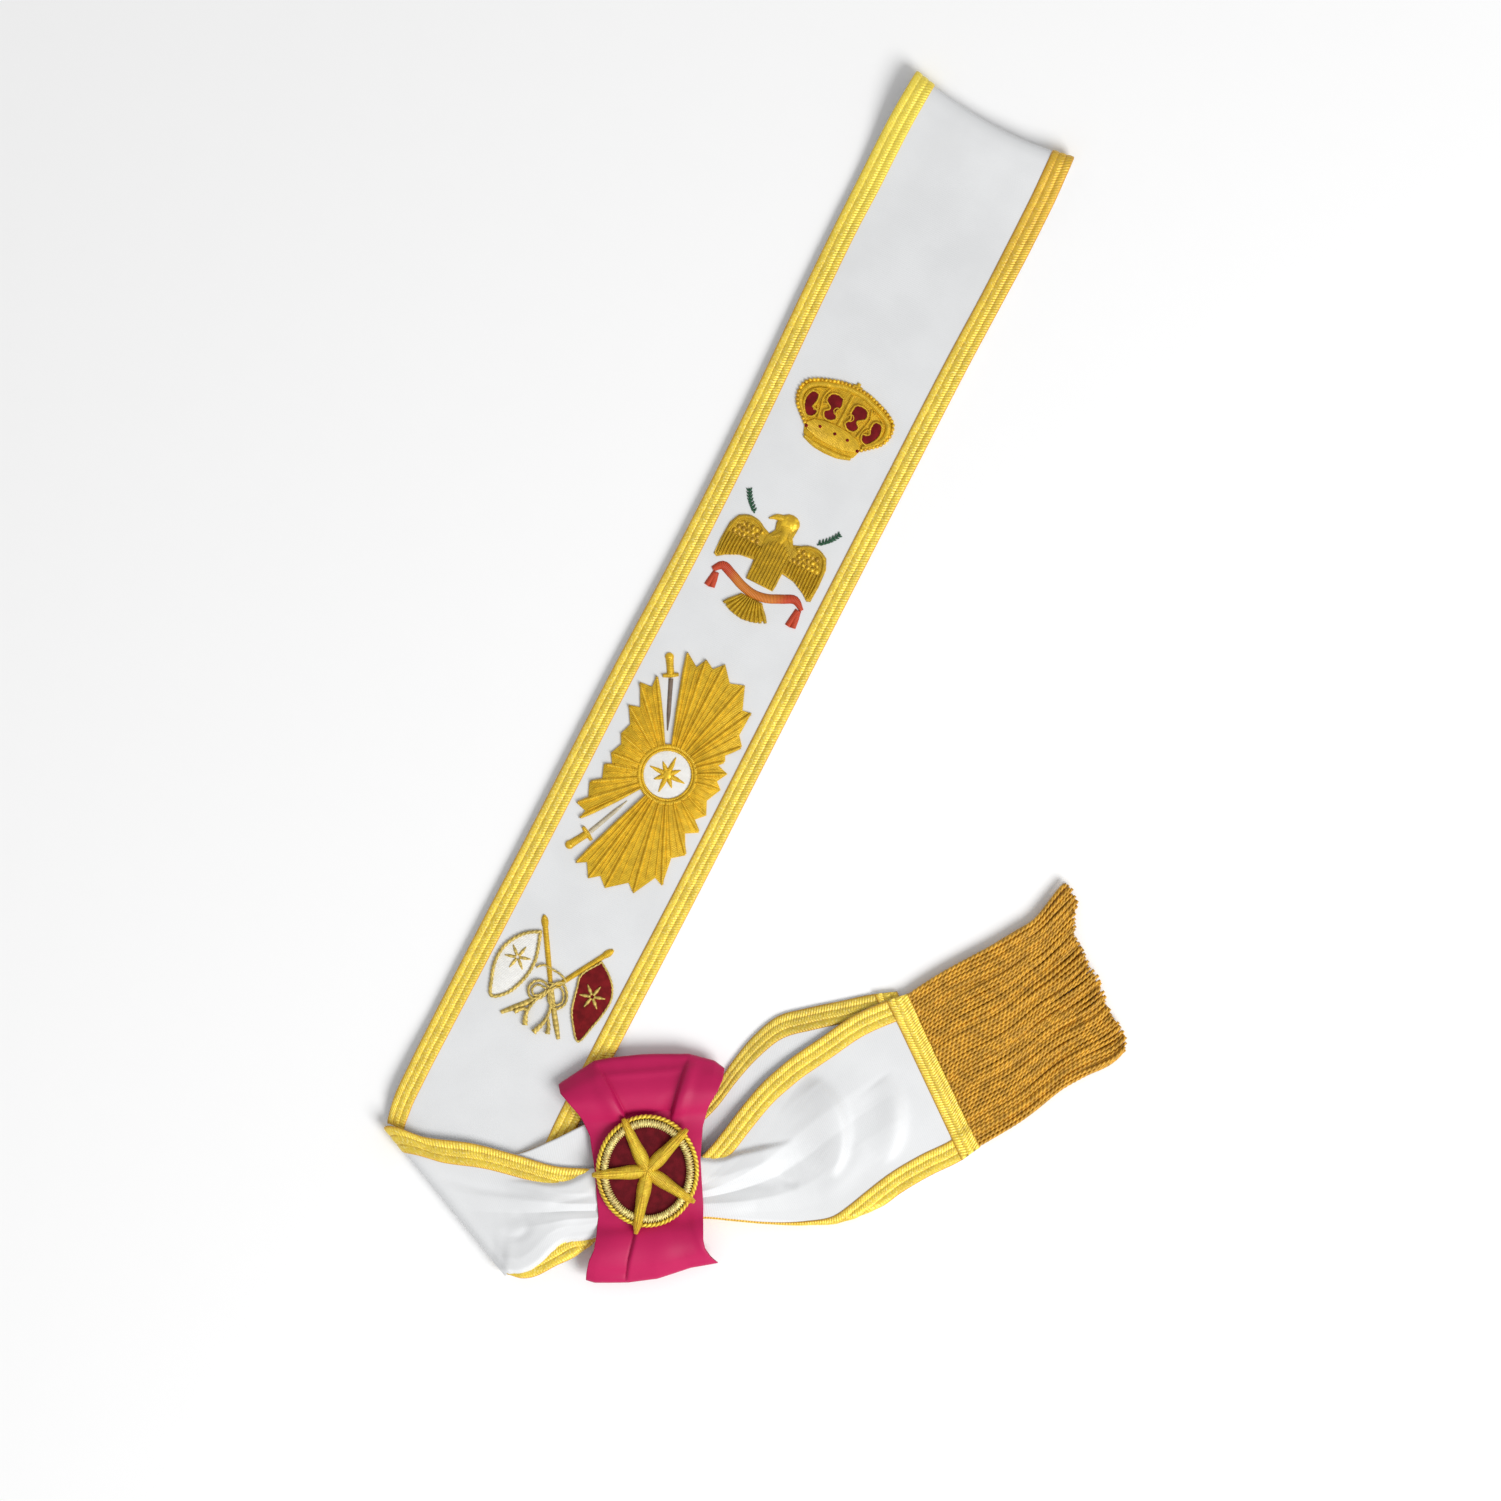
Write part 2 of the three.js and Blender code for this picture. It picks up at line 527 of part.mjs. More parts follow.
// Crown, from the middle outwards
const CROWN_HALF = [
  [0, 475.4], [7, 475.9], [12.5, 477.6], [16, 480.8], [18, 486.6], [22, 490], [27, 495], [29, 501.5],
  [27.5, 507.5], [22.5, 511.2], [15, 514.2], [7, 516.4], [1.4, 516.8], [3.2, 518.4], [1.4, 520.4], [0, 520],
]
const CROWN_INNER_LOBE = [
  [3.0, 503], [4.6, 499.6], [2.8, 496], [5.5, 493], [9.5, 493.8], [10.5, 498], [12.4, 503.5], [10.8, 508],
  [4, 508.6],
]
const CROWN_OUTER_LOBE = [
  [13.6, 494.2], [15.2, 491], [18.6, 490.3], [22, 493.5], [23.5, 500], [21, 504.5], [17.5, 504.6], [16.6, 498.6],
]

// Spread bird with one head, its wings, tail and the ribbon below it
const BIRD_BODY = [
  [-7.6, 391.4], [9.2, 391.4], [9.8, 405], [9, 419], [6, 424], [6.4, 430], [3, 434.6], [-2.4, 435], [-5.6, 432.6],
  [-11, 430.4], [-6.4, 428.2], [-5.2, 424], [-8.4, 419], [-8.6, 405],
]
const BIRD_WING = [
  [-9.4, 404.4], [-9.2, 419.6], [-16, 424.4], [-22, 425.2], [-27.4, 422.6], [-30.2, 416.6], [-30.8, 406],
  [-30.4, 396.4], [-28.2, 395.6], [-24, 398.8], [-17, 402.2],
]
const BIRD_TAIL = [
  [-6.4, 382.6], [-13.6, 374.6], [-12, 371.8], [-8, 370.6], [-4, 369.4], [0.5, 368.8], [5, 369.4], [9, 370.8],
  [13, 372.4], [14.6, 375.6], [7.4, 382.8], [0.5, 381.8],
]
const BIRD_RIBBON = [
  [-21.4, 387.6], [-21, 378.4], [-24, 379.8], [-27.4, 378], [-27, 386.4], [-28.6, 389.4], [-25.6, 393], [-20.4, 394.6],
  [-14, 392.2], [-7, 389.8], [0, 388.6], [7, 389.4], [14, 392], [19, 394.6], [23.6, 395], [28, 392.4], [31.6, 389.8],
  [28.6, 387.4], [30.6, 379.8], [27.2, 381.4], [24, 379.6], [24.6, 389.6], [20, 390], [14, 386.6], [7, 383.8],
  [0.5, 382.6], [-7, 383.8], [-14, 387.2],
]
const SPRIG_LEFT = [
  [-19.6, 427.2], [-22, 427.4], [-25.4, 430.4], [-27.2, 431.4], [-28.4, 434.8], [-29.6, 439], [-27.4, 438],
  [-24.6, 434.6], [-22.8, 432],
]

// Rays: the tips seen round the ring, the notches where the blades lie
const GLORY_CENTRE = [3, 272]
const GLORY_RING_RADIUS = 17
const GLORY_DISC_RADIUS = 14
const GLORY_TIPS = [
  [34, 251.5], [33, 262], [30.5, 269], [31, 276], [31, 283], [31, 291], [34, 306], [29, 325], [19, 337], [4, 342.5],
  [-8, 341], [-19, 340],
]
const GLORY_TIPS_LEFT = [[-29, 320], [-36, 312], [-35, 298], [-31, 285], [-29, 277], [-30, 270], [-33, 262], [-36, 249], [-37, 234]]
const GLORY_TIPS_LOW = [[-21, 204], [-11, 200], [0, 199], [16, 203], [28, 214.5], [32.5, 235]]
const UPPER_NOTCH = [[-12.6, 318], [-4.2, 291.4], [-8.6, 289.4], [-23.6, 315]]
const LOWER_NOTCH = [[-26.6, 228], [-10.4, 256.4], [-6.4, 252.6], [-17.2, 226]]

function withValleys(tips) {
  return tips.flatMap(([x, y], i) => {
    if (i + 1 === tips.length) return [[x, y]]
    const [nx, ny] = tips[i + 1]
    return [[x, y], [lerp((x + nx) / 2, GLORY_CENTRE[0], 0.07), lerp((y + ny) / 2, GLORY_CENTRE[1], 0.07)]]
  })
}

function gloryOutline() {
  return [
    ...withValleys(GLORY_TIPS), ...UPPER_NOTCH, ...withValleys(GLORY_TIPS_LEFT), ...LOWER_NOTCH,
    ...withValleys(GLORY_TIPS_LOW), [31.5, 243],
  ]
}

// Daggers: end of the grip, guard, root and point of the blade
const DAGGERS = [
  { name: 'upper', grip: [-26.2, 332.4], guard: [-20.4, 322.6], point: [-8.2, 294.4] },
  { name: 'lower', grip: [-28.6, 211.4], guard: [-22.0, 222.4], point: [-10.6, 248.4] },
]

function daggerHilt({ grip, guard }) {
  const length = Math.hypot(guard[0] - grip[0], guard[1] - grip[1])
  const dx = (guard[0] - grip[0]) / length
  const dy = (guard[1] - grip[1]) / length
  const at = (along, side) => [grip[0] + dx * along - dy * side, grip[1] + dy * along + dx * side]
  return [
    at(0, -2), at(length - 2, -1.6), at(length - 2, -3.9), at(length + 0.4, -3.9), at(length + 0.4, 3.9),
    at(length - 2, 3.9), at(length - 2, 1.6), at(0, 2),
  ]
}

function daggerBlade({ guard, point }) {
  const length = Math.hypot(point[0] - guard[0], point[1] - guard[1])
  const dx = (point[0] - guard[0]) / length
  const dy = (point[1] - guard[1]) / length
  const at = (along, side) => [guard[0] + dx * along - dy * side, guard[1] + dy * along + dx * side]
  return [at(1.6, -1.3), at(length - 3, -1), at(length, 0), at(length - 3, 1), at(1.6, 1.3)]
}

// Crossed flags, their poles and the bow that ties them
const FLAG_LIGHT = [
  [-21.4, 160.6], [-27, 157], [-33, 150.4], [-36.6, 142.6], [-37.2, 133.4], [-34, 122.4], [-29.6, 114],
  [-22, 119.4], [-18, 127], [-15.6, 135.6], [-15.4, 142], [-12.4, 146.2],
]
const FLAG_DARK = [
  [17.8, 160.4], [10.4, 146.4], [11.6, 141], [12.8, 135], [15.2, 127], [20, 119.6], [26, 113.2], [30, 124.6],
  [32.4, 135], [32.8, 143], [30, 150.2], [24, 156.4],
]
const POLE_BOW = [
  [-20.4, 109], [-15, 108.4], [-11.6, 110.6], [-6, 107.6], [-4.6, 112], [-2.6, 120], [-0.6, 124], [0.6, 112], [1.6, 106.6],
  [4.8, 109], [9.6, 107.4], [16.2, 109], [12, 115], [8.4, 124], [10.4, 131], [8.4, 138], [4.4, 142.6], [-2, 143.6],
  [-7.4, 141.4], [-11.6, 138], [-13.6, 131], [-11.4, 125], [-12.4, 121],
]

const mainSheet = mainCloth()
const underTailSheet = new Cloth(UNDER_TAIL.map(clothRow))
const GLORY_STAR = Array.from({ length: 16 }, (_, i) => {
  const angle = i / 16 * 2 * Math.PI
  const radius = i % 2 ? 5 : 11
  return [GLORY_CENTRE[0] + radius * Math.cos(angle), GLORY_CENTRE[1] + radius * Math.sin(angle)]
})

const WHITE = 0xe8e8e6
const GOLD = 0xe0b830
const OLD_GOLD = 0xc89a32
const MAGENTA = 0xc82d68
const VELVET = 0x5c141c
const GREEN = 0x2f5a3c
const RED = 0xc84a28
const STEEL = 0x8c8578

// Name, geometry, colour and roughness of every piece
const pieces = [
  ['sash_ribbon', mainSheet.slab(-CLOTH_THICKNESS / 2, CLOTH_THICKNESS / 2), WHITE, 0.6],
  ['braid_left', mainSheet.slab(BRAID_LOW, BRAID_HIGH, 0, BRAID_COLUMNS), GOLD, 0.5],
  ['braid_right', trimmed(
    mainSheet.slab(BRAID_LOW, BRAID_HIGH, LAST - BRAID_COLUMNS, LAST),
    mainSheet.slab(-CLOTH_THICKNESS / 2, CLOTH_THICKNESS / 2),
    mainSheet.slab(-CLOTH_THICKNESS / 2 - 0.1, CLOTH_THICKNESS / 2 + 0.2),
  ), GOLD, 0.5],
  ['tail_under', underTailSheet.slab(-CLOTH_THICKNESS / 2, CLOTH_THICKNESS / 2), WHITE, 0.6],
  ['braid_under_upper', underTailSheet.slab(BRAID_LOW, BRAID_HIGH, 0, BRAID_COLUMNS), GOLD, 0.5],
  ['braid_under_lower', underTailSheet.slab(BRAID_LOW, BRAID_HIGH, LAST - BRAID_COLUMNS, LAST), GOLD, 0.5],
  ['fringe_over', fringe([182.4, 223.4], [258.2, 164.4], 2.8, FRINGE_THICKNESS, [111, 97], 19, 5), OLD_GOLD, 0.55],
  ['fringe_under', fringe([180.6, 217.8], [248.8, 164.1], 0, UNDER_FRINGE_THICKNESS, [104, 92], 9, 4), OLD_GOLD, 0.55],
  ['bow_ribbon', bow(), MAGENTA, 0.45],
  ['badge_plate', ovalPlate(0.945, 1.5, 0.4, 40), VELVET, 0.9],
  ['badge_ring', ovalBand([[-7, 2.2], [-2.2, 2.2], [-2.2, 3.6], [-3.4, 4.5], [-5.8, 4.5], [-7, 3.6]], 40), GOLD, 0.4],
  ['badge_cord', ovalBand([[-0.9, 0.5], [0.5, 0.5], [1, 1.6], [0.4, 2.8], [-0.9, 2.8], [-1.4, 1.7]], 40), OLD_GOLD, 0.5],
  ['badge_star', star(BADGE_BASE_Z + 4.8), GOLD, 0.35],
  ['braid_end_over', endBraid(mainSheet), GOLD, 0.5],
  ['braid_end_under', endBraid(underTailSheet), GOLD, 0.5],
  ['crown_frame', motif(mirrored(CROWN_HALF), 2.2, [
    CROWN_INNER_LOBE, CROWN_OUTER_LOBE, flipped(CROWN_INNER_LOBE), flipped(CROWN_OUTER_LOBE),
  ]), GOLD, 0.4],
  ['crown_velvet_inner_right', motif(shrunk(CROWN_INNER_LOBE, 0.5), 1.4), VELVET, 0.9],
  ['crown_velvet_outer_right', motif(shrunk(CROWN_OUTER_LOBE, 0.5), 1.4), VELVET, 0.9],
  ['crown_velvet_inner_left', motif(shrunk(flipped(CROWN_INNER_LOBE), 0.5), 1.4), VELVET, 0.9],
  ['crown_velvet_outer_left', motif(shrunk(flipped(CROWN_OUTER_LOBE), 0.5), 1.4), VELVET, 0.9],
  ['bird_body', motif(BIRD_BODY, 2.2), GOLD, 0.4],
  ['bird_wing_left', motif(BIRD_WING, 1.8), GOLD, 0.4],
  ['bird_wing_right', motif(BIRD_WING.map(([x, y]) => [0.8 - x, y]).reverse(), 1.8), GOLD, 0.4],
  ['bird_tail', motif(BIRD_TAIL, 1.6), GOLD, 0.4],
  ['bird_ribbon', motif(BIRD_RIBBON, 1.2), RED, 0.6],
  ['sprig_left', motif(SPRIG_LEFT, 1), GREEN, 0.7],
  ['sprig_right', motif(flipped(SPRIG_LEFT), 1), GREEN, 0.7],
  ['glory_rays', motif(gloryOutline(), 1.8, [circle(GLORY_CENTRE, GLORY_RING_RADIUS + 0.4, 24)]), GOLD, 0.4],
  ['glory_ring', motif(circle(GLORY_CENTRE, GLORY_RING_RADIUS, 24), 2.2, [
    circle(GLORY_CENTRE, GLORY_DISC_RADIUS, 24),
  ]), GOLD, 0.4],
  ['glory_disc', motif(circle(GLORY_CENTRE, GLORY_DISC_RADIUS - 0.4, 24), 0.8), WHITE, 0.6],
  ['glory_star', motif(GLORY_STAR, 0.8, [], MOTIF_BASE_Z + 1.1), GOLD, 0.4],
  ...DAGGERS.flatMap((dagger) => [
    [`dagger_${dagger.name}_hilt`, motif(daggerHilt(dagger), 1.6), GOLD, 0.4],
    [`dagger_${dagger.name}_blade`, motif(daggerBlade(dagger), 1.2), STEEL, 0.5],
  ]),
  ['flag_light', motif(FLAG_LIGHT, 1.2), WHITE, 0.6],
  ['flag_dark', motif(FLAG_DARK, 1.2), VELVET, 0.8],
  ['flag_pole_left', motif(bar([-23.4, 169.4], [-8.4, 142.8], 1.8, 1.5), 1.6), GOLD, 0.4],
  ['flag_pole_right', motif(bar([19.6, 169.4], [6, 143.8], 1.8, 1.5), 1.6), GOLD, 0.4],
  ['flag_bow', motif(POLE_BOW, 1.6), GOLD, 0.4],
]

const part = new THREE.Group()
part.name = 'regalia_sash'
for (const [name, shape, color, roughness] of pieces) {
  const mesh = new THREE.Mesh(shape, new THREE.MeshStandardMaterial({ color, roughness, metalness: 0 }))
  mesh.name = name
  part.add(mesh)
}

// Resting on z = 0 with the middle of the bounding box over the origin
const bounds = new THREE.Box3().setFromObject(part)
const middle = bounds.getCenter(new THREE.Vector3())
for (const mesh of part.children) mesh.geometry.translate(-middle.x, -middle.y, -bounds.min.z)

export default part
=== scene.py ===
"""Dresses the regalia sash: ribbon, braid, fringe, bow, badge and embroidery.

Laid out as an add-on.
"""

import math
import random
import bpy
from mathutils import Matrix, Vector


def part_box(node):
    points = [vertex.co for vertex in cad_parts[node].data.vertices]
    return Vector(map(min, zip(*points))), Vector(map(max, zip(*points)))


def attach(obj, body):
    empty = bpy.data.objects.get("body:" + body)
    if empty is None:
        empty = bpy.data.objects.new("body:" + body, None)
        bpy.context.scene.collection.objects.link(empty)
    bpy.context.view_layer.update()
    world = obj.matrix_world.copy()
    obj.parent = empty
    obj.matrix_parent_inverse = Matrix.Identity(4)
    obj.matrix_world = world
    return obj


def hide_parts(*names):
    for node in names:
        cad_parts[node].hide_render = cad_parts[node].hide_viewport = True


bl_info = {
    "name": "Regalia Sash",
    "version": (1, 0, 0),
    "blender": (4, 5, 0),
    "location": "View3D > Sidebar > Sash",
    "description": "Builds the cloth, trim, bow, badge and embroidery of a ribbon sash",
    "category": "Object",
}

import bmesh
import bpy
import numpy as np
from bpy.props import FloatProperty, FloatVectorProperty, IntProperty, PointerProperty
from mathutils import Matrix, Vector

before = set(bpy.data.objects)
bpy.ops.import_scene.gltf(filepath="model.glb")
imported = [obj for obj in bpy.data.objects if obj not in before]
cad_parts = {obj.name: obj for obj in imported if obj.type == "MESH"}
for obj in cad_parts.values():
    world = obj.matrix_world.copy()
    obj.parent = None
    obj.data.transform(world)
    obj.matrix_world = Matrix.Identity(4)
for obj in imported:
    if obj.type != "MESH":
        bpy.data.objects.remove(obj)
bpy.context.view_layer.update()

MM = 0.001
# The middle of the badge in the working frame, and where the frame has it
BADGE_CENTRE = np.array([94.5, 67.0, 0.0])
PLATE_LOW, PLATE_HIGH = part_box("badge_plate")
ORIGIN = Vector((
    (PLATE_LOW.x + PLATE_HIGH.x) / 2 - BADGE_CENTRE[0] * MM,
    (PLATE_LOW.y + PLATE_HIGH.y) / 2 - BADGE_CENTRE[1] * MM,
    0.0,
))

# Cloth, millimetres
RIBBON_WIDTH = 102.0
BRAID_WIDTH = 13.0
CURL_RADIUS = 1.6
FULL_CURL_TUCK = 9.0
BACK_Z = 1.9
FRONT_Z = 3.5
STITCH_Z = FRONT_Z + 0.5
HALF = RIBBON_WIDTH / 2
INNER = HALF - BRAID_WIDTH
# Points across the cloth of the loop and of the under tail
RIBBON_COLUMNS = 97
TAIL_COLUMNS = 41
# Braid: points across it; height of its underside, of its outermost points and of its grooves above
# the middle of the cloth; points along an end braid and its rise where it crosses an edge braid
BRAID_COLUMNS = 25
BRAID_BOTTOM = 0.5
BRAID_SIDE = 0.7
BRAID_GROOVE = 0.95
END_BRAID_COLUMNS = 80
END_BRAID_LIFT = 1.1
# Where painted light on the left edge braid and painted shade on the right one start and reach full strength
# towards the shoulder, metres along the model's Y
SHOULDER_PAINTED_SHADING_REACH = (0.2, 0.34)

# Cross rows of the cloth: x and y of both edges, height of both edges, cloth tucked under at the
# second edge, height of the gather ripples, spacing of the finer rows after it; where the row slants,
# how much wider than the braid its first edge band runs
OVER_RUN = [
    (181.5, 223.0, 257.6, 163.8, 3.4, 3.4, 0, 0, 3),
    (172.5, 213.6, 251.6, 152.0, 3.4, 3.4, 0, 0, 3),
    (160.0, 198.5, 239.7, 136.1, 3.4, 3.5, 0, 0.3, 3),
    (148.5, 178.0, 228.5, 118.5, 3.4, 4.2, 0, 0.6, 2.5),
    (143.6, 169.2, 223.0, 110.2, 3.4, 4.7, 2.5, 0.7, 2),
    (139.0, 160.8, 217.3, 102.7, 3.5, 5.2, 5, 0.8, 2),
    (135.0, 151.8, 211.4, 95.6, 3.7, 5.7, 7.5, 0.9, 2),
    (131.5, 143.0, 204.5, 89.2, 3.9, 5.9, 10.5, 1.0, 1.4),
    (126.0, 122.0, 189.2, 80.5, 4.8, 6.2, 13, 1.4, 1.4),
    (122.6, 104.0, 168.0, 70.6, 6.2, 7.0, 14, 1.6, 1.4),
    (120.0, 93.0, 150.0, 63.5, 7.6, 8.0, 14, 1.4, 1.4),
    (117.5, 86.3, 136.0, 58.0, 8.4, 8.6, 14, 1.0, 1.4),
    (90.0, 71.0, 110.5, 38.0, 8.6, 8.6, 14, 0.8, 1.6),
    (68.3, 54.4, 86.3, 18.8, 8.4, 8.3, 9, 1.0, 2),
    (59.2, 50.2, 83.9, 13.4, 8.9, 8.6, 6, 1.3, 2),
    (49.0, 45.9, 80.8, 8.3, 9.4, 9.0, 3, 1.6, 1.6, 1.04),
    (25.8, 41.2, 72.6, -5.3, 9.9, 10.0, 0, 1.2, 2.5, 1.12),
    (0.0, 35.8, 63.5, -17.0, 10.3, 11.0, 0, 0.6, 2.5, 1.2),
    (-28.0, 26.2, 57.6, -20.4, 10.3, 11.7, 0, 0.2, 2, 1.36),
]
BACK_RUN = [
    (-51.5, 62.0, 48.5, 20.0, BACK_Z, BACK_Z, 0, 0, 8),
    (-51.5, 110.0, 47.5, 104.0, BACK_Z, BACK_Z, 0, 0, 10),
    (-50.5, 300.0, 48.5, 300.0, BACK_Z, BACK_Z, 0, 0, 10),
    (-49.5, 480.0, 49.0, 480.0, BACK_Z, BACK_Z, 0, 0, 10),
    (-51.0, 590.0, 50.5, 590.0, BACK_Z, BACK_Z, 0, 0, 8),
]
FRONT_RUN = [
    (-53.5, 600.0, 52.0, 600.0, FRONT_Z, FRONT_Z, 0, 0, 6),
    (-53.0, 560.0, 51.0, 560.0, FRONT_Z, FRONT_Z, 0, 0, 8),
    (-51.0, 484.0, 50.4, 484.0, FRONT_Z, FRONT_Z, 0, 0, 8),
    (-50.5, 388.0, 49.9, 388.0, FRONT_Z, FRONT_Z, 0, 0, 8),
    (-52.1, 311.0, 49.8, 311.0, FRONT_Z, FRONT_Z, 0, 0, 8),
    (-52.6, 215.0, 49.5, 215.0, FRONT_Z, FRONT_Z, 0, 0, 8),
    (-53.7, 118.0, 48.3, 113.0, FRONT_Z, FRONT_Z, 0, 0, 5),
    (-53.8, 88.0, 48.0, 60.0, FRONT_Z, 3.7, 0, 0, 5),
    (-53.6, 60.0, 49.5, 20.0, 5.0, 6.4, 0, 0, 4),
    (-52.8, 38.0, 49.8, -1.0, 5.2, 6.0, 0, 0, 3),
]
UNDER_RUN = [
    (-20.0, 24.0, 59.2, -16.0, 8.2, 9.5, 0, 0, 4),
    (22.2, 39.5, 68.8, -2.2, 8.0, 7.2, 0, 0.4, 3),
    (38.7, 57.3, 76.4, 11.9, 8.4, 4.8, 0, 0.6, 3),
    (53.9, 76.5, 84.0, 23.4, 7.8, 2.4, 0, 0.6, 3),
    (66.0, 84.0, 94.0, 36.0, 4.5, 2.4, 0, 0.4, 3),
]
UNDER_TAIL = [
    (175.5, 221.0, 248.5, 163.5, 0.6, 0.6, 0, 0, 4),
    (164.5, 213.8, 240.3, 152.5, 0.6, 0.6, 0, 0, 4),
    (150.5, 202.6, 224.0, 133.0, 0.6, 0.6, 0, 0, 4),
    (134.1, 189.4, 203.0, 111.5, 0.6, 0.6, 0, 0, 4),
    (121.5, 178.0, 187.0, 98.0, 0.6, 0.6, 0, 0, 4),
    (114.0, 161.5, 170.0, 88.5, 0.6, 0.6, 0, 0, 4),
    (110.0, 144.0, 152.0, 79.5, 0.6, 0.6, 0, 0, 4),
    (107.5, 127.0, 138.0, 73.0, 0.6, 0.6, 0, 0, 4),
    (103.0, 112.0, 124.0, 70.0, 0.6, 0.6, 0, 0, 4),
]
# Diagonal fold: the crease seen from above, its bend radii at both ends, how far the inner bend is
# set in from the outer one and leans outwards at its first edge, the steps round it in degrees, and
# how many of them each bend leaves out where its top layer begins
CREASE = ((-49.8, 21.0), (49.6, -23.4))
OUTER_BEND = (4.2, 5.0)
INNER_BEND_INSET = 1.65
INNER_CORNER_LEAN = 2.8
FOLD_STEP = 15
FOLD_ROWS_LEFT_OUT = 3
FOLD_ROW_SPACING = 1.6
# Share of the crease that the first braid takes, in the layer below and in the layer above
FOLD_BAND_SHARE = (0.127, 0.2)
# Where the second braid turns inside the cloth, braid widths from the crease's lower end; how near
# that place it is sunk out of sight, and how far from it it lies free
SUNK_BRAID_AT = 0.8
SUNK_BRAID_REACH = (3.5, 7.0)
# Loop at the shoulder: distance below the top edge and height of the middle of the cloth
SHOULDER_EDGE_Y = 685.0
SHOULDER_CONCAVITY = 5.5
SHOULDER_TILT = -1.7
SHOULDER_FRONT_FROM = 4
SHOULDER_PROFILE = [
    (60, 1.9), (16, 1.9), (4.8, 1.9), (1.41, 3.31), (0, 6.7), (1.41, 10.1),
    (4.8, 11.5), (12, 11.4), (25, 8.8), (42, 5.4), (62, 3.7),
]
# Gather ripples: places across the cloth and height for a ripple of 1
RIPPLE_AT = (-38, -28, -14, 0, 14, 28, 38)
RIPPLE_HEIGHT = (0, 0.3, 1, -0.4, 0.8, 0.2, 0)
# Pleats pressed into the top layer: the line of the edge from its faint end, which side of it is
# raised (1 is right), height, how far the raised side stays level, how soon the edge is at full height
PLEATS = [
    ([(26, 25), (36, 30), (48, 34.2), (55, 38), (60.5, 43.6), (66.5, 52.5)], 1, 2.9, 9, 2.4),
    ([(161, 120), (158.9, 117.2), (149.6, 109.2), (137, 98.6), (128, 90), (116, 85.2)], -1, 3.3, 9, 3.0),
    (
        [
            (42, -23.5), (46, -21.5), (56.8, -16.7), (64.2, -5.8), (67, 3.8), (69.5, 9), (79.2, 15.2),
            (84, 18.9),
        ],
        -1, 2.8, 8, 9,
    ),
]
# How far before the fold everything pressed into the top layer stops, and how far from the braid its
# ridges and hollows fade
PRESSED_STOP = 6.0
DENT_MARGIN = 8.0
# Soft ridges and hollows of the top layer: line, height, half widths to its right and to its left
DENTS = [
    ([(150, 154), (160.2, 152.4), (173.2, 147.2), (182.7, 137.2), (188.2, 122.3), (188, 110)], 5.0, 17, 3.6),
    ([(190, 173), (200.1, 168.2), (208.5, 156.2), (212.6, 143.5), (212.2, 132)], 3.0, 11, 3.6),
    ([(200, 134), (197, 118), (190, 98)], 0.7, 6, 6),
    ([(161, 98), (168, 96), (175, 98)], -0.9, 2.4, 2.4),
    ([(120, 72), (134, 76), (150, 86), (164, 91)], -0.9, 3.2, 3.2),
    ([(122, 62), (140, 66), (158, 77)], 0.8, 4, 4),
    ([(37, 2), (42, -1.5), (48, 2), (48, 8), (42, 10.5), (37, 7)], -0.8, 2.6, 2.6),
    ([(-8, 11), (10, 13.5), (26, 18), (44, 25)], -0.6, 3, 3),
    ([(54, 26), (64, 33), (74, 40)], -0.9, 2.6, 2.6),
    ([(52, 17), (64, 24), (78, 31)], 0.8, 3, 3),
]

# Fringe: length of a cord's turn, sideways sway of the whole, and the longest run of a cord
FRINGE_PITCH = 3.0
FRINGE_SWAY = 1.8
FRINGE_LENGTH = 110
# Headings of the two fringes, and the layers of each: share of the number of cords, height, spacing
# of a cord's rings, its sides, depth of its twist, share of its length
TOP_FRINGE_HEADING = ((181.6, 222.4), (257.0, 163.4))
LOW_FRINGE_HEADING = ((180.0, 217.4), (248.4, 163.6))
TOP_FRINGE_LAYERS = ((1.0, 5.0, 0.7, 8, 0.16, 1.0), (1.0, 4.1, 3.0, 6, 0.0, 0.985))
LOW_FRINGE_LAYERS = ((0.8, 1.6, 2.5, 6, 0.1, 0.99),)
# Guide lines of the fringe's two sides and of its free end
FRINGE_TOP_SIDE = [
    (182.4, 223.4), (190, 235), (200, 251), (210, 268), (220, 285), (226, 293.5), (230, 305),
    (233.5, 320),
]
FRINGE_LOW_SIDE = [
    (258.2, 164.4), (265, 177), (275, 194), (285, 212), (295, 229), (304, 243), (306.5, 249),
]
FRINGE_FREE_END = [
    (233.5, 320), (240, 317), (246, 307), (249, 299), (253, 294), (259.5, 290.5), (265, 285), (272, 281),
    (280, 274), (287, 267), (294, 263), (300, 260), (304, 255), (306.5, 249),
]

# Bow in its own frame: its turn, the points across it and the half width of its flat map
BOW_TURN = math.radians(31.6)
BOW_COLUMNS = 125
BOW_MAP_HALF = 40
# Place along the bow and height of the middle of the satin; the points between which it is on top
BOW_PATH = [
    (8, 11.4), (28, 11.3), (44, 10.2), (56, 8.8), (62, 8.4), (64.6, 8.9), (65.2, 9.9), (64.6, 10.9),
    (61, 13), (52, 17.2), (42, 18.9), (35, 17.0), (29.5, 13.8), (12, 13.6), (-12, 13.6), (-29.5, 13.8),
    (-36, 17.0), (-44, 18.0), (-52, 16.2), (-58.5, 12.6), (-62, 10.4), (-62.6, 9.4), (-61.8, 8.4),
    (-56, 8.4), (-44, 11.2), (-28, 11.3), (-8, 11.4),
]
BOW_TOP_ROWS = (6, 21)
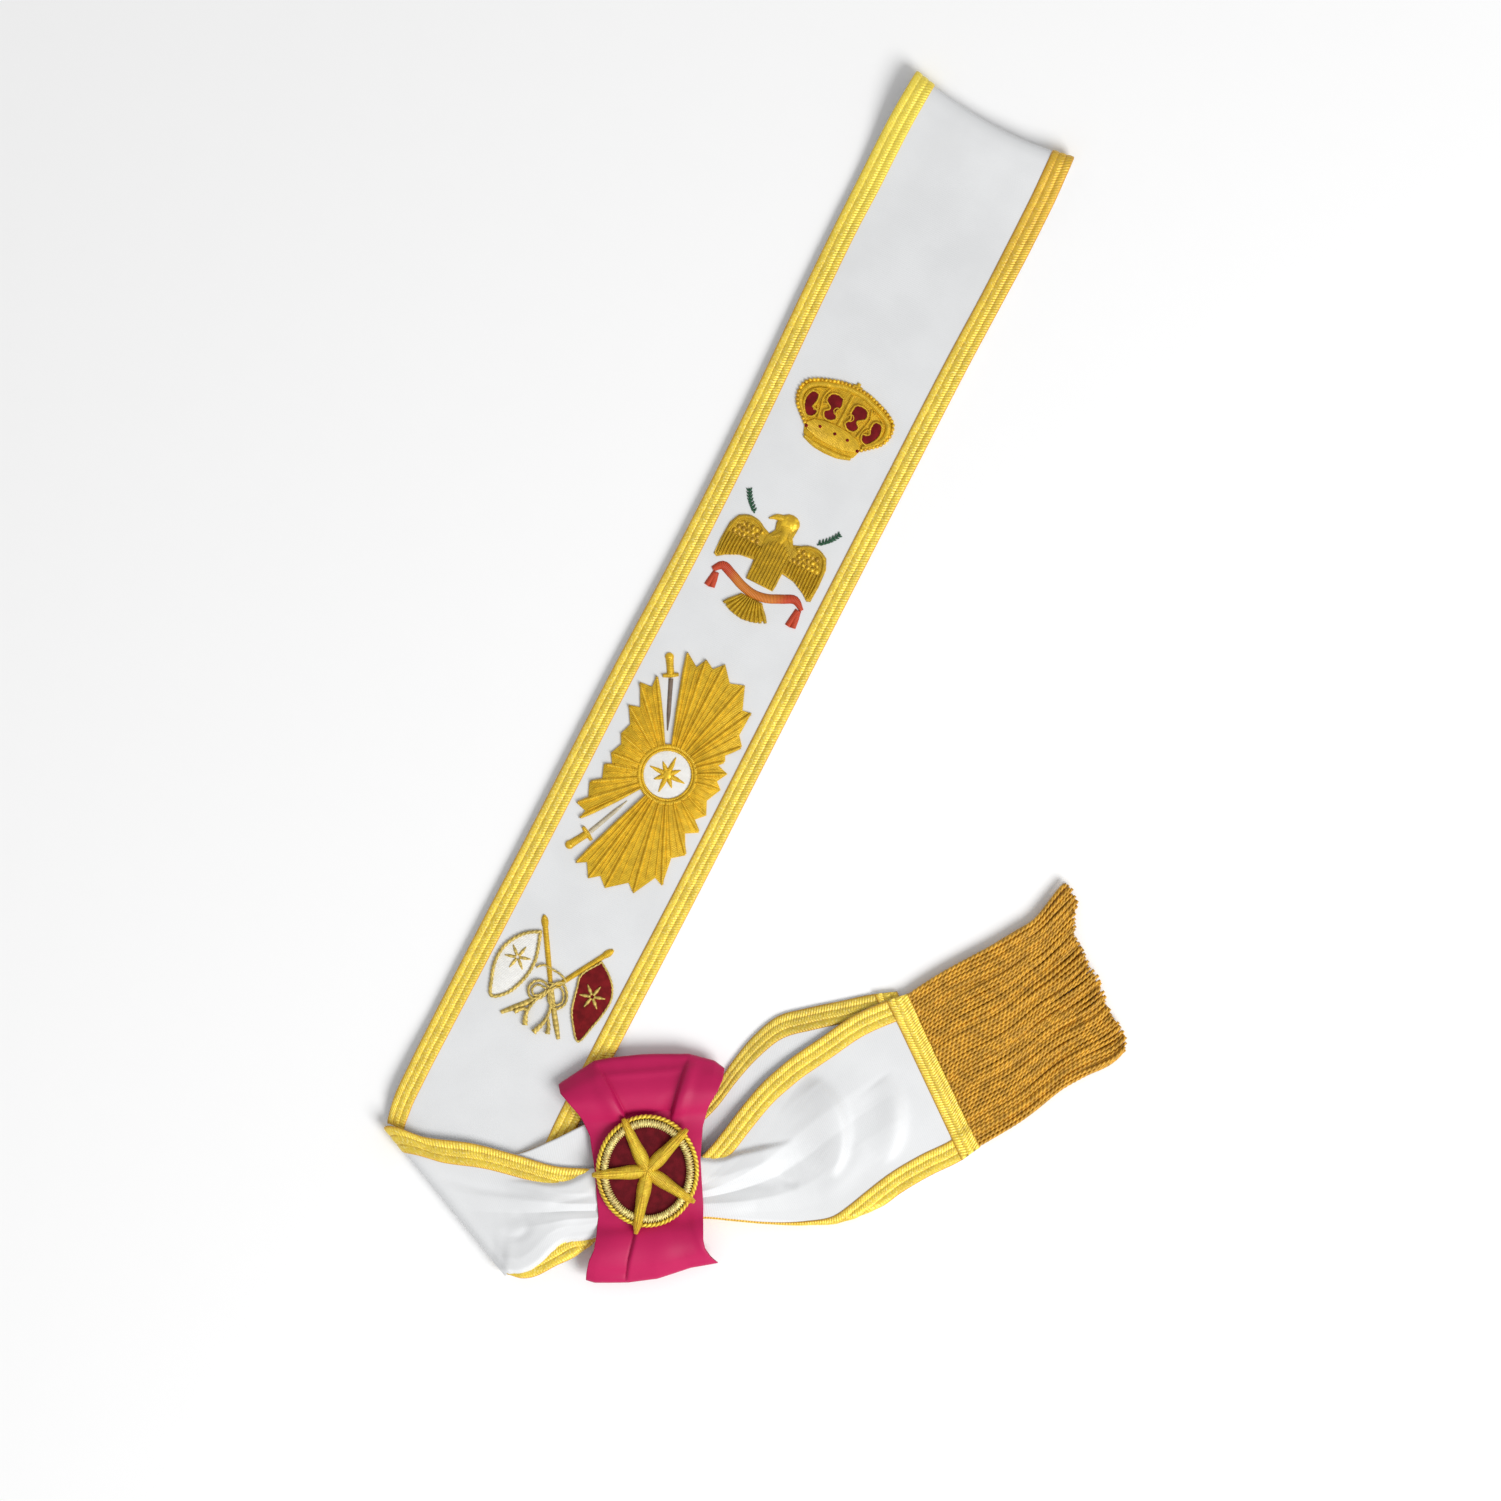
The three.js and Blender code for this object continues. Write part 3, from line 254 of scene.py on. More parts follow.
# Place along the bow, reach to its left and to its right
BOW_WIDTHS = [
    (-64, -40.3, 36.2), (-57, -39.3, 31.6), (-50, -37.5, 28.8), (-43, -34, 28.2), (-35, -32, 28.8),
    (-23, -29.9, 29.8), (4, -29.9, 30.4), (22, -31, 33.2), (32, -34.5, 36.8), (44, -41, 43.5),
    (54, -45.4, 46.8), (66, -46.4, 48),
]
# How far the edge of each end falls short, at places across it from -1 to 1
BOW_TOP_END = [
    (-1, 13), (-0.78, 7.4), (-0.54, 1.4), (-0.34, 0.4), (0, 0), (0.16, 0.2), (0.6, 1.9), (0.89, 6.9),
    (1, 11.6),
]
BOW_LOW_END = [(-1, 3.5), (-0.88, 1.5), (-0.43, 0), (0, 0.9), (0.04, 1.2), (0.56, 6.1), (1, 7.6)]
# Creases of the pleats: place along the bow and across it
BOW_LEFT_CREASE = [(30.3, -9.4), (42.2, -14.2), (49.3, -17), (60.8, -23)]
BOW_RIGHT_CREASE = [(28.2, 15.7), (41.6, 20.3), (52.8, 24.7), (60.5, 28.1)]
BOW_LOW_CREASE = [(-61, -17.4), (-49.7, -14.9), (-36.3, -10.3)]

# Badge: half axes and turn of its oval, height of its base
BADGE_SEMI_AXES = (28.6, 31.4)
BADGE_TURN = math.radians(26.9)
BADGE_BASE_Z = 14.9
# Share of the oval that the velvet takes, height of its side, and its rounding: inset and rise
VELVET_SHARE = 0.945
VELVET_SIDE = 1.3
VELVET_ROUNDING = ((0.04, 0.25), (0.3, 0.25), (0.3, 0.1))
# Coil: inset from the oval, height of its middle, half width and half height of a turn, points in a
# turn, radii of its wire and of the core
COIL_INSET = 4.3
COIL_Z = 2.9
COIL_HALF_WIDTH = 1.95
COIL_HALF_HEIGHT = 1.35
COIL_SIDES = 14
COIL_WIRE = 0.42
COIL_CORE = 1.5
# Cord outside the coil: inset, height of its middle and radius
CORD_INSET = 0.7
CORD_Z = 1.9
CORD_RADIUS = 1.25
# Star: tips from the middle of the badge; heights of an arm's foot and its half widths from the middle
# to the tip; the ridges of an arm, how far they lie beside its middle, and their half widths
STAR_TIPS = [(9.4, 31.5), (-25.7, 20.4), (-27.0, -16.2), (10.2, -34.6), (31.8, -3.6)]
STAR_BASE = [17.2, 17.2, 17.4, 18.6, 18.9, 18.6, 17.6]
STAR_WIDTHS = [2.6, 3.5, 4.1, 4.1, 3.6, 3.2, 3.0, 2.7, 2.2, 1.1]
STAR_RIDGES = (-1.5, 0.0, 1.5)
STAR_RIDGE_WIDTHS = [0.6, 0.9, 0.9, 0.8, 0.7, 0.5]
# Pitch of a cord without visible turns
UNTWISTED = 100.0

# Padded patches: depth of the foot in the cloth, and the rounding of the rim as shares of its inset and
# of its height
PAD_SINK = 0.25
PAD_ROUNDING = ((0.35, 0.26), (0.65, 0.14))

# Crown, working millimetres: right halves of the frame and of its band, the foot, the jewels and the
# right half of the arch
CROWN_HALF = [
    (0, 475.4), (7, 475.9), (12.5, 477.6), (16, 480.8), (18, 486.6), (22, 490), (27, 495), (29, 501.5),
    (27.5, 507.5), (22.5, 511.2), (15, 514.2), (7, 516.4), (0, 516.8),
]
CROWN_BAND_HALF = [
    (0, 480.6), (8, 481), (15.4, 483.4), (17.4, 487), (14, 490.6), (8, 492.4), (0, 493),
]
CROWN_FOOT = [(-14.8, 479.6), (-8, 478), (0, 477.6), (8, 478), (14.8, 479.6)]
CROWN_JEWELS = [(-16.2, 485), (-9, 488), (0.4, 488), (8.4, 488), (16.2, 485)]
CROWN_ARCH_HALF = [
    (17.6, 488), (22, 491.6), (25.8, 496.4), (26.9, 501.4), (25.2, 506), (20.4, 509.6), (13.6, 512.2),
    (6.6, 514.3), (0, 514.8),
]
# Beads along the crown's rim
BEAD_SPACING = 2.3
BEAD_RADIUS = 1.25
# Ribs and scrolls between the lobes, on the right: line and half widths
CROWN_RIBS = [
    ([(12.4, 492), (13.6, 498), (14.8, 504), (13.2, 509.6)], [1.2, 0.8, 0.8, 1.2]),
    ([(14.4, 509.2), (20, 507), (24.2, 502), (23.8, 496), (20, 490.6)], [0.7] * 3),
    ([(2.2, 501), (4.8, 502), (6.2, 500), (4.4, 498), (3.2, 499)], [0.9, 0.6]),
    ([(12.8, 501), (10.4, 501.6), (9, 499.6), (10.6, 498)], [0.9, 0.6]),
    ([(14, 495), (16.4, 498.6), (17.6, 496.6), (16.2, 494.8)], [0.9, 0.6]),
]
# Velvet lobes on the right
CROWN_INNER_LOBE = [
    (3.0, 503), (4.6, 499.6), (2.8, 496), (5.5, 493.4), (9.5, 493.8), (11, 497), (8.6, 499.6),
    (12.6, 503.5), (11.6, 507.6), (7.6, 509), (4, 508),
]
CROWN_OUTER_LOBE = [
    (14.2, 495), (15.4, 491.4), (18.6, 490.3), (22, 493.5), (23.8, 500), (21.6, 504.6), (18, 504.4),
    (17, 500), (18, 496.4),
]

# Bird, working millimetres: its middle line, torso, tail, rim of the right wing, left wing
BIRD_MIDDLE = 0.4
BIRD_TORSO = [
    (-7.6, 392), (9.2, 392), (9.8, 405), (9, 419), (6, 424), (6.4, 430), (3, 434.6), (-2.4, 435),
    (-5.6, 432.6), (-6.4, 428.2), (-5.2, 424), (-8.4, 419), (-8.6, 405),
]
BIRD_TAIL = [
    (-6.2, 383.4), (-12.6, 374.8), (-8, 371.6), (0.5, 370), (9, 371.8), (13.4, 375.6), (7.2, 383.4),
]
WING_RIM = [(10.4, 420), (16.4, 423.6), (22.4, 424), (27.2, 421.4), (29.4, 416), (30, 406), (29.4, 397.4)]
BIRD_WING = [
    (-6.5, 403.6), (-6.5, 420.6), (-16, 424.4), (-22, 425.2), (-27.4, 422.6), (-30.2, 416.6),
    (-30.8, 406), (-30.4, 396.4), (-28.2, 395.6), (-24, 398.8), (-17, 402.2),
]
# Breast feathers: columns, place of the first one and distance between two
BREAST_COLUMNS = 9
BREAST_FIRST_X = -7.0
BREAST_SPACING = 1.95
# Quills of the right wing: number, first place, distance, the line of their tops and of their ends
QUILLS = 11
QUILL_FIRST_X = 9.0
QUILL_SPACING = 1.92
QUILL_TOP_Y = 411.6
QUILL_ENDS = [(10, 404.6), (17, 402.4), (24, 399), (28.4, 396.6)]
# Small feathers above them: rows, columns, first place, distances across and up, and the line they
# stay below
SCALE_ROWS = 3
SCALE_COLUMNS = 6
SCALE_FIRST = (12.2, 413.4)
SCALE_SPACING = (2.9, 3.1)
SCALE_LIMIT = [(10, 419), (16, 421.6), (22, 422), (28, 418.6)]
TAIL_FEATHERS = 11
BANNER_LINE = [
    (-27, 388.2), (-23, 392.6), (-16, 390.6), (-8, 387.4), (0.5, 385.8), (8, 387), (16, 390.6),
    (23, 393.4), (29, 389.8),
]
SPRIG_STEM = [(20, 427.2), (25, 432), (29.2, 438.6)]

# Glory, working millimetres
GLORY_CENTRE = (3.0, 272.0)
GLORY_RING_RADIUS = 17.0
# Cords of the ring: radii of the circle and of the cord, height above the stitches
RING_BAND = (16.2, 1.25, 0.8)
RING_CORD = (14.3, 0.75, 0.7)
GLORY_DISC_RADIUS = 13.7
# Both parts of the glory from one dagger to the other: tips and the notches between them in turn
GLORY_PARTS = [
    [
        (-18.1, 339.6), (-9.8, 334.2), (-6.8, 340.6), (-1.0, 337.4), (4.1, 342.9), (11.3, 334.4),
        (19.5, 337.2), (24.8, 323.8), (30.0, 324.9), (29.4, 310.6), (33.8, 305.3), (26.5, 298.7),
        (29.0, 293.6), (25.4, 290.2), (33.4, 287.8), (30.0, 281.4), (34.0, 277.9), (29.8, 269.0),
        (33.3, 261.3), (28.7, 256.4), (34.0, 250.7), (27.2, 246.7), (33.0, 235.7), (26.5, 230.6),
        (28.9, 214.2), (23.4, 216.5), (16.3, 203.0), (11.2, 207.2), (0.5, 198.4), (-4.9, 203.4),
        (-10.5, 199.0), (-15.2, 207.0), (-20.8, 203.6),
    ],
    [
        (-30.7, 227.3), (-29.4, 232.6), (-35.9, 234.4), (-31.4, 240.4), (-34.7, 248.4), (-29.0, 253.1),
        (-31.9, 260.9), (-27.9, 263.6), (-31.3, 268.6), (-28.3, 275.7), (-31.2, 281.1), (-28.8, 288.0),
        (-34.6, 297.6), (-28.2, 299.4), (-34.7, 312.0), (-27.4, 312.8), (-27.9, 319.7),
    ],
]
DAGGERS = [
    {"grip": (-26.2, 332.4), "guard": (-20.4, 322.6), "point": (-8.2, 294.4)},
    {"grip": (-28.6, 211.4), "guard": (-22.0, 222.4), "point": (-10.6, 248.4)},
]

# Flags, working millimetres: outlines of the fields, their stars with the height of the stitches
FLAG_LIGHT = [
    (-20.6, 160.6), (-27, 157), (-33, 150.4), (-36.6, 142.6), (-37.2, 133.4), (-34, 122.4), (-29.6, 114),
    (-22, 119.4), (-18, 127), (-15.6, 135.6), (-15.4, 142),
]
FLAG_DARK = [
    (17.8, 160.4), (10.4, 146.4), (11.6, 141), (12.8, 135), (15.2, 127), (20, 119.6), (26, 113.2),
    (30, 124.6), (32.4, 135), (32.8, 143), (30, 150.2), (24, 156.4),
]
FLAG_STARS = (((-26, 141), 4.5), ((22, 140), 4.9))
# Bow of cord that ties the poles: line and radii of each part
FLAG_CORDS = [
    ([(-2.5, 133.7), (-6.5, 135.2), (-11, 133.4), (-12.6, 128.4), (-9, 124), (-4.2, 126), (-1.5, 133)], 0.75),
    ([(-3.5, 132.4), (-9, 132), (-10.4, 128.6), (-8.2, 126), (-5, 127.8), (-3, 131.6)], 0.6),
    (
        [(-2.5, 133.7), (2.6, 139.4), (8.1, 135.4), (9.9, 129), (6.4, 124.3), (1.3, 126.5), (-1.6, 132.6)],
        0.75,
    ),
    ([(-1, 134), (3.6, 136.4), (7, 133.4), (7.9, 129), (5.4, 126.4), (2.2, 128.4), (-0.6, 132)], 0.6),
    ([(-14, 140.7), (-10.8, 143.7), (-5.1, 143.6), (0.1, 143.2), (4.6, 140.8), (1, 137.5), (-4, 136)], 0.65),
    ([(-2.8, 131.1), (-6.4, 122), (-7.2, 114.6), (-4.9, 108.4)], [0.8, 0.8, 1.0, 1.6]),
    ([(-6.6, 117.4), (-11, 115.6), (-13.6, 112.4)], [0.7, 1.0, 1.4]),
    ([(-0.8, 132.1), (4.0, 122), (3.9, 114.6), (1.3, 106.9)], [0.8, 0.8, 1.0, 1.6]),
    ([(4.4, 118.6), (7.6, 113.6), (8.8, 109.6)], [0.7, 1.0, 1.4]),
]
# Poles above the bow of cord, from the tip down, and below it
FLAG_POLES = [
    ("left", (-23.4, 169.2), (-7.2, 143.4), "flag_pole_left"),
    ("right", (20.8, 169.2), (5.6, 143.6), "flag_pole_right"),
]
FLAG_POLE_ENDS = [
    [(-1.8, 135.2), (6.2, 122.9), (15.7, 109.7)], [(0.2, 134.8), (-7.5, 123.1), (-20.3, 108.6)],
]

# Camera: height above the ribbon and the point it looks at, working millimetres; the photograph's
# own turn, image up against +Y
CAMERA_HEIGHT = 2377.0
CAMERA_AIM = (39.0, 305.7)
CAMERA_TURN = math.radians(26.87)
CAMERA_LENS = 100.0
CAMERA_SENSOR = 36.0
CAMERA_CLIP_END = 20.0
# Stage, metres: half side and drop of the floor, place and size of the soft light
FLOOR_HALF = 6.0
FLOOR_DROP = 0.0003
KEY_PLACE = (2.1, -0.77, 2.2)
KEY_SIZE = 1.8


def srgb(red, green, blue):
    """Linear colour of a screen colour given from 0 to 255"""
    return tuple(
        value / 12.92 if value <= 0.04045 else ((value + 0.055) / 1.055) ** 2.4
        for value in (red / 255, green / 255, blue / 255)
    ) + (1.0,)


def shade(color, factor):
    """A colour made lighter or darker"""
    return tuple(min(1.0, value * factor) for value in color[:3]) + (1.0,)


def finer(rows, spacings):
    """Smooth rows between the given ones, a set distance apart"""
    rows = np.array(rows, dtype=float)
    steps = np.diff(rows, axis=0)
    gaps = np.maximum(np.linalg.norm(steps, axis=2).mean(axis=1), 1e-6)
    slopes = steps / gaps[:, None, None]
    before = gaps[:-1, None, None]
    after = gaps[1:, None, None]
    inner = (slopes[:-1] * after + slopes[1:] * before) / (before + after)
    tangents = np.concatenate([slopes[:1], inner, slopes[-1:]])
    result = []
    for index, gap in enumerate(gaps):
        start, end = rows[index], rows[index + 1]
        count = max(1, round(gap / spacings[index]))
        for t in np.arange(count) / count:
            result.append(
                start * (2 * t ** 3 - 3 * t ** 2 + 1) + end * (3 * t ** 2 - 2 * t ** 3)
                + tangents[index] * gap * (t ** 3 - 2 * t ** 2 + t)
                + tangents[index + 1] * gap * (t ** 3 - t ** 2)
            )
    result.append(rows[-1])
    return np.array(result)


def smooth_line(points, step):
    """A smooth line through points, with points about a step apart"""
    points = np.array(points, dtype=float)
    return finer(points[:, None, :], [step] * (len(points) - 1))[:, 0, :]


def run_length(line):
    """Distance along a line at each of its points"""
    return np.concatenate([[0.0], np.cumsum(np.linalg.norm(np.diff(line, axis=0), axis=1))])


def at_share(line, share):
    """Points of a line at shares of its length"""
    length = run_length(line)
    return np.column_stack([np.interp(share * length[-1], length, column) for column in line.T])


def unit(vectors):
    """Vectors of length one"""
    return vectors / np.maximum(np.linalg.norm(vectors, axis=-1, keepdims=True), 1e-9)


def soft_step(value, width):
    """0 below zero and 1 above it, with a soft step of about a width to both sides"""
    return 1 / (1 + np.exp(np.clip(-value / width, -40, 40)))


def mirrored(half):
    """A closed outline from its right half"""
    return list(half) + [(-x, y) for x, y in reversed(half) if x != 0]


def flipped(outline):
    """An outline on the other side of the middle"""
    return [(-x, y) for x, y in reversed(outline)]


def sided(side, line, middle=0.0):
    """A line as it is, for side 1, or mirrored about a middle, for side -1"""
    return [(middle + side * (x - middle), y) for x, y in line]


def cloth_row(row, across):
    """One table row as points across the cloth, with its curled edge"""
    up_x, up_y, low_x, low_y, up_z, low_z, tuck, ripple = row[:8]
    width = math.hypot(low_x - up_x, low_y - up_y)
    direction = np.array([low_x - up_x, low_y - up_y, 0.0]) / width
    turn = math.pi * min(1.0, tuck / FULL_CURL_TUCK)
    fold_at = HALF - tuck
    end = width - CURL_RADIUS * math.sin(min(turn, math.pi / 2))
    seen = max(0.0, BRAID_WIDTH - tuck)
    knots = (-HALF, -INNER, min(INNER, fold_at), fold_at)
    first_band = BRAID_WIDTH * (row[9] if len(row) > 9 else 1.0)
    shift = np.interp(across, knots, (0.0, first_band, end - seen, end))
    run = np.maximum(across - fold_at, 0.0)
    angle = np.minimum(run / CURL_RADIUS, turn)
    rest = run - angle * CURL_RADIUS
    shift = shift + CURL_RADIUS * np.sin(angle) + rest * np.cos(angle)
    drop = CURL_RADIUS * (1 - np.cos(angle)) + rest * np.sin(angle)
    height = up_z + (low_z - up_z) * np.minimum(1.0, shift / width)
    points = np.array([up_x, up_y, 0.0]) + shift[:, None] * direction
    points[:, 2] = height + ripple * np.interp(across, RIPPLE_AT, RIPPLE_HEIGHT) - drop
    return points


def fold_rows(across, inset, low_z, lean):
    """Rows round the diagonal fold, from the layer below to the layer above; lean moves the first
    edge of the layer below outwards along the crease"""
    ends = np.array(CREASE)
    along = unit(ends[1] - ends[0])
    outward = np.array([along[1], -along[0]])
    rows = []
    for step in range(-90, 91, FOLD_STEP):
        first_band = np.interp(step, (-90, 90), FOLD_BAND_SHARE)
        share = np.interp(across, (-HALF, -INNER, HALF), (0.0, first_band, 1.0))
        radius = OUTER_BEND[0] + (OUTER_BEND[1] - OUTER_BEND[0]) * share - inset
        reach = radius * math.cos(math.radians(step)) - radius - inset
        flat = ends[0] + share[:, None] * (ends[1] - ends[0]) + reach[:, None] * outward
        flat -= (lean * np.interp(step, (-90, 0), (1, 0)) * (1 - share))[:, None] * along
        height = low_z + radius * (1 + math.sin(math.radians(step)))
        rows.append(np.column_stack([flat, height]))
    return rows


def shoulder_rows(across):
    """Rows of the soft loop at the shoulder, from the back half to the front half"""
    share = (across + HALF) / RIBBON_WIDTH
    rows = []
    for index, (below, height) in enumerate(SHOULDER_PROFILE):
        blend = min(1.0, below / 30)
        front = index >= SHOULDER_FRONT_FROM
        left = -51.4 - 2.1 * blend if front else -50.6
        right = 51.0 + 1.6 * blend if front else 50.6
        hollow = SHOULDER_CONCAVITY * (across / HALF) ** 2 * (1 - below / 100)
        tilt = SHOULDER_TILT * across / HALF * (1 - blend)
        x = left + (right - left) * share
        y = SHOULDER_EDGE_Y + hollow + tilt - below
        rows.append(np.column_stack([x, y, np.full_like(across, height)]))
    return rows


class Cloth:
    """A sheet as points of rows by columns, with its outside normals and its flat map"""

    def __init__(self, rows, spacings, across):
        self.points = finer(rows, spacings)
        self.across = across
        self.along = run_length(self.points[:, len(across) // 2])
        along = np.gradient(self.points, axis=0)
        side = np.gradient(self.points, axis=1)
        self.normals = unit(np.cross(along, side))

    @property
    def flat_size(self):
        """Width and length of the sheet laid out flat, metres"""
        return (RIBBON_WIDTH * MM, self.along[-1] * MM)


def main_cloth(across):
    """The loop and the over tail, one cloth"""
    outer = fold_rows(across, 0.0, BACK_Z, 0.0)[::-1][FOLD_ROWS_LEFT_OUT:]
    inner = fold_rows(across, INNER_BEND_INSET, FRONT_Z, INNER_CORNER_LEAN)[:-FOLD_ROWS_LEFT_OUT]
    shoulder = shoulder_rows(across)
    rows, spacings = [], []
    for table, made in (
        (OVER_RUN, None), (None, outer), (BACK_RUN, None), (None, shoulder), (FRONT_RUN, None), (None, inner),
        (UNDER_RUN, None),
    ):
        rows += made or [cloth_row(row, across) for row in table]
        spacings += [FOLD_ROW_SPACING] * len(made) if made else [row[8] for row in table]
    return Cloth(rows, spacings, across)


def tail_cloth(across):
    """The under tail"""
    return Cloth([cloth_row(row, across) for row in UNDER_TAIL], [row[8] for row in UNDER_TAIL], across)


def beside_line(flat, line):
    """Distance of places from a line, their side of it (1 is right) and their share along it"""
    line = smooth_line(line, 3.0)
    nearest = np.full(len(flat), 1e9)
    side = np.zeros(len(flat))
    share = np.zeros(len(flat))
    for index in range(len(line) - 1):
        start, step = line[index], line[index + 1] - line[index]
        t = np.clip(((flat - start) @ step) / (step @ step), 0, 1)
        gap = flat - (start + t[:, None] * step)
        distance = np.linalg.norm(gap, axis=1)
        closer = distance < nearest
        nearest[closer] = distance[closer]
        side[closer] = -np.sign(step[0] * gap[:, 1] - step[1] * gap[:, 0])[closer]
        share[closer] = ((index + t) / (len(line) - 1))[closer]
    return nearest, side, share


def pressed_height(flat, free):
    """Height that pressed pleats, ridges and hollows add at places on the top layer; free is the share
    of the ridges and hollows that a place takes, 0 below the braid"""
    total = np.zeros(len(flat))
    for line, raised, height, level, quickness in PLEATS:
        distance, side, share = beside_line(flat, line)
        signed = distance * side * raised
        fade = np.exp(-np.maximum(signed - level, 0) / 12)
        total += height * soft_step(signed, 0.4) * fade * np.clip(share * quickness, 0, 1)
    for line, height, right_width, left_width in DENTS:
        distance, side, share = beside_line(flat, line)
        width = np.where(side > 0, right_width, left_width)
        total += free * height * np.sin(math.pi * share) ** 0.7 * np.exp(-(distance / width) ** 2)
    return total


class Piece:
    """The mesh of one piece, collected in working millimetres"""

    def __init__(self):
        self.bm = bmesh.new()
        self.map = self.bm.loops.layers.uv.new("cloth")

    def sheet(self, points, across, along):
        """A sheet of rows by columns, with its flat map in millimetres"""
        rows, columns = points.shape[:2]
        made = bmesh.ops.create_grid(self.bm, x_segments=columns - 1, y_segments=rows - 1, size=1.0)
        for index, vert in enumerate(made["verts"]):
            row, column = divmod(index, columns)
            vert.co = points[row, column]
            for loop in vert.link_loops:
                loop[self.map].uv = (across[column] * MM, along[row] * MM)
        return made["verts"]

    def tube(self, rings, around, along, closed=False):
        """A tube through rings of points, pinched shut at its ends or joined into a loop"""
        rings = np.concatenate([rings, rings[:, :1]], axis=1)
        around = np.append(around, 2 * around[-1] - around[-2])
        if closed:
            rings = np.concatenate([rings, rings[:1]])
            along = np.append(along, 2 * along[-1] - along[-2])
        else:
            middles = rings[:, :-1].mean(axis=1)[:, None] * np.ones((1, rings.shape[1], 1))
            rings = np.concatenate([middles[:1], rings, middles[-1:]])
            along = np.concatenate([along[:1], along, along[-1:]])
        verts = self.sheet(rings, around, along)
        bmesh.ops.remove_doubles(self.bm, verts=verts, dist=1e-4)

    def rope(
        self, line, radius, pitch=3.0, plies=2, sides=8, step=0.6, depth=0.2, squash=1.0, closed=False,
        phase=0.0,
    ):
        """A twisted cord along a line; radius is a number or one for each given point"""
        line = np.array(line, dtype=float)
        if closed:
            line = np.concatenate([line, line[:1]])
        path = smooth_line(line, step) if step else line
        length = run_length(path)
        marks = np.linspace(0, 1, np.size(radius)) if np.size(radius) > 1 else [0]
        reach = np.interp(length / length[-1], marks, np.atleast_1d(radius))
        if closed:
            turns = max(1, round(length[-1] / pitch))
            pitch = length[-1] / turns
            tangent = unit(np.roll(path[:-1], -1, axis=0) - np.roll(path[:-1], 1, axis=0))
            path, length, reach = path[:-1], length[:-1], reach[:-1]
        else:
            tangent = unit(np.gradient(path, axis=0))
        side = unit(np.cross(tangent, np.array([0.0, 0.0, 1.0])))
        up = np.cross(side, tangent)
        angle = np.arange(sides) / sides * 2 * math.pi
        length = length + phase
        twist = 2 * math.pi * length / pitch
        wave = (1 + depth * np.cos(plies * angle[None, :] - twist[:, None])) * reach[:, None]
        rings = (
            path[:, None, :] + side[:, None, :] * (np.cos(angle) * wave)[:, :, None]
            + up[:, None, :] * (np.sin(angle) * wave)[:, :, None] * squash
        )
        self.tube(rings, angle / (2 * math.pi) / MM, length, closed)

    def strip(self, line, half_widths, height, base=STITCH_Z, step=1.6, power=2.2, sink=0.25):
        """A domed strip of stitches along a line; half widths are spread over its length"""
        line = np.array(line, dtype=float)[:, :2]
        path = smooth_line(line, step)
        length = run_length(path)
        share = length / length[-1]
        half = np.interp(share, np.linspace(0, 1, len(half_widths)), half_widths)
        low = np.interp(share, np.linspace(0, 1, np.size(base)), np.atleast_1d(base))
        tangent = unit(np.gradient(path, axis=0))
        side = np.column_stack([-tangent[:, 1], tangent[:, 0]])
        spread = np.linspace(-1, 1, 7)
        lift = np.minimum(1.0, 0.35 + half / max(half_widths))
        tops = low[:, None] + height * lift[:, None] * (1 - np.abs(spread) ** power)
        offsets = np.concatenate([spread, [0.9, -0.9]])
        heights = np.column_stack([tops, low - sink, low - sink])
        flat = path[:, None, :] + side[:, None, :] * (half[:, None] * offsets)[:, :, None]
        rings = np.concatenate([flat, heights[:, :, None]], axis=2)
        self.tube(rings, offsets * max(half_widths), length)

    def raise_face(self, face, side, rounding, even=False):
        """Raises a copy of a face on side walls and rounds its rim, by an inset and a rise at a time"""
        made = bmesh.ops.extrude_face_region(self.bm, geom=[face], use_keep_orig=True)["geom"]
        rim = [item for item in made if isinstance(item, bmesh.types.BMVert)]
        top = next(item for item in made if isinstance(item, bmesh.types.BMFace))
        bmesh.ops.translate(self.bm, verts=rim, vec=(0, 0, side))
        for thickness, rise in rounding:
            bmesh.ops.inset_region(self.bm, faces=[top], thickness=thickness, use_even_offset=even)
            bmesh.ops.translate(self.bm, verts=top.verts, vec=(0, 0, rise))
        return rim, top

    def pad(self, outline, height, base=STITCH_Z, inset=0.5, angle=0.0):
        """A filled patch of stitches with a rounded rim; angle turns its threads"""
        verts = [self.bm.verts.new((x, y, base - PAD_SINK)) for x, y in outline]
        face = self.bm.faces.new(verts)
        rounding = [(inset * share, height * rise) for share, rise in PAD_ROUNDING]
        rim, top = self.raise_face(face, PAD_SINK + height * 0.6, rounding, even=True)
        faces = {top, face}
        for vert in [*rim, *top.verts]:
            faces.update(vert.link_faces)
        for item in faces:
            for loop in item.loops:
                x, y = loop.vert.co.x * MM, loop.vert.co.y * MM
                loop[self.map].uv = (
                    x * math.cos(angle) + y * math.sin(angle), y * math.cos(angle) - x * math.sin(angle),
                )

    def dome(self, centre, radii, height, base=STITCH_Z):
        """A small round knot of thread"""
        place = Matrix.Translation((centre[0], centre[1], base)) @ Matrix.Diagonal((*radii, height, 1.0))
        bmesh.ops.create_uvsphere(self.bm, u_segments=14, v_segments=8, radius=1.0, matrix=place)

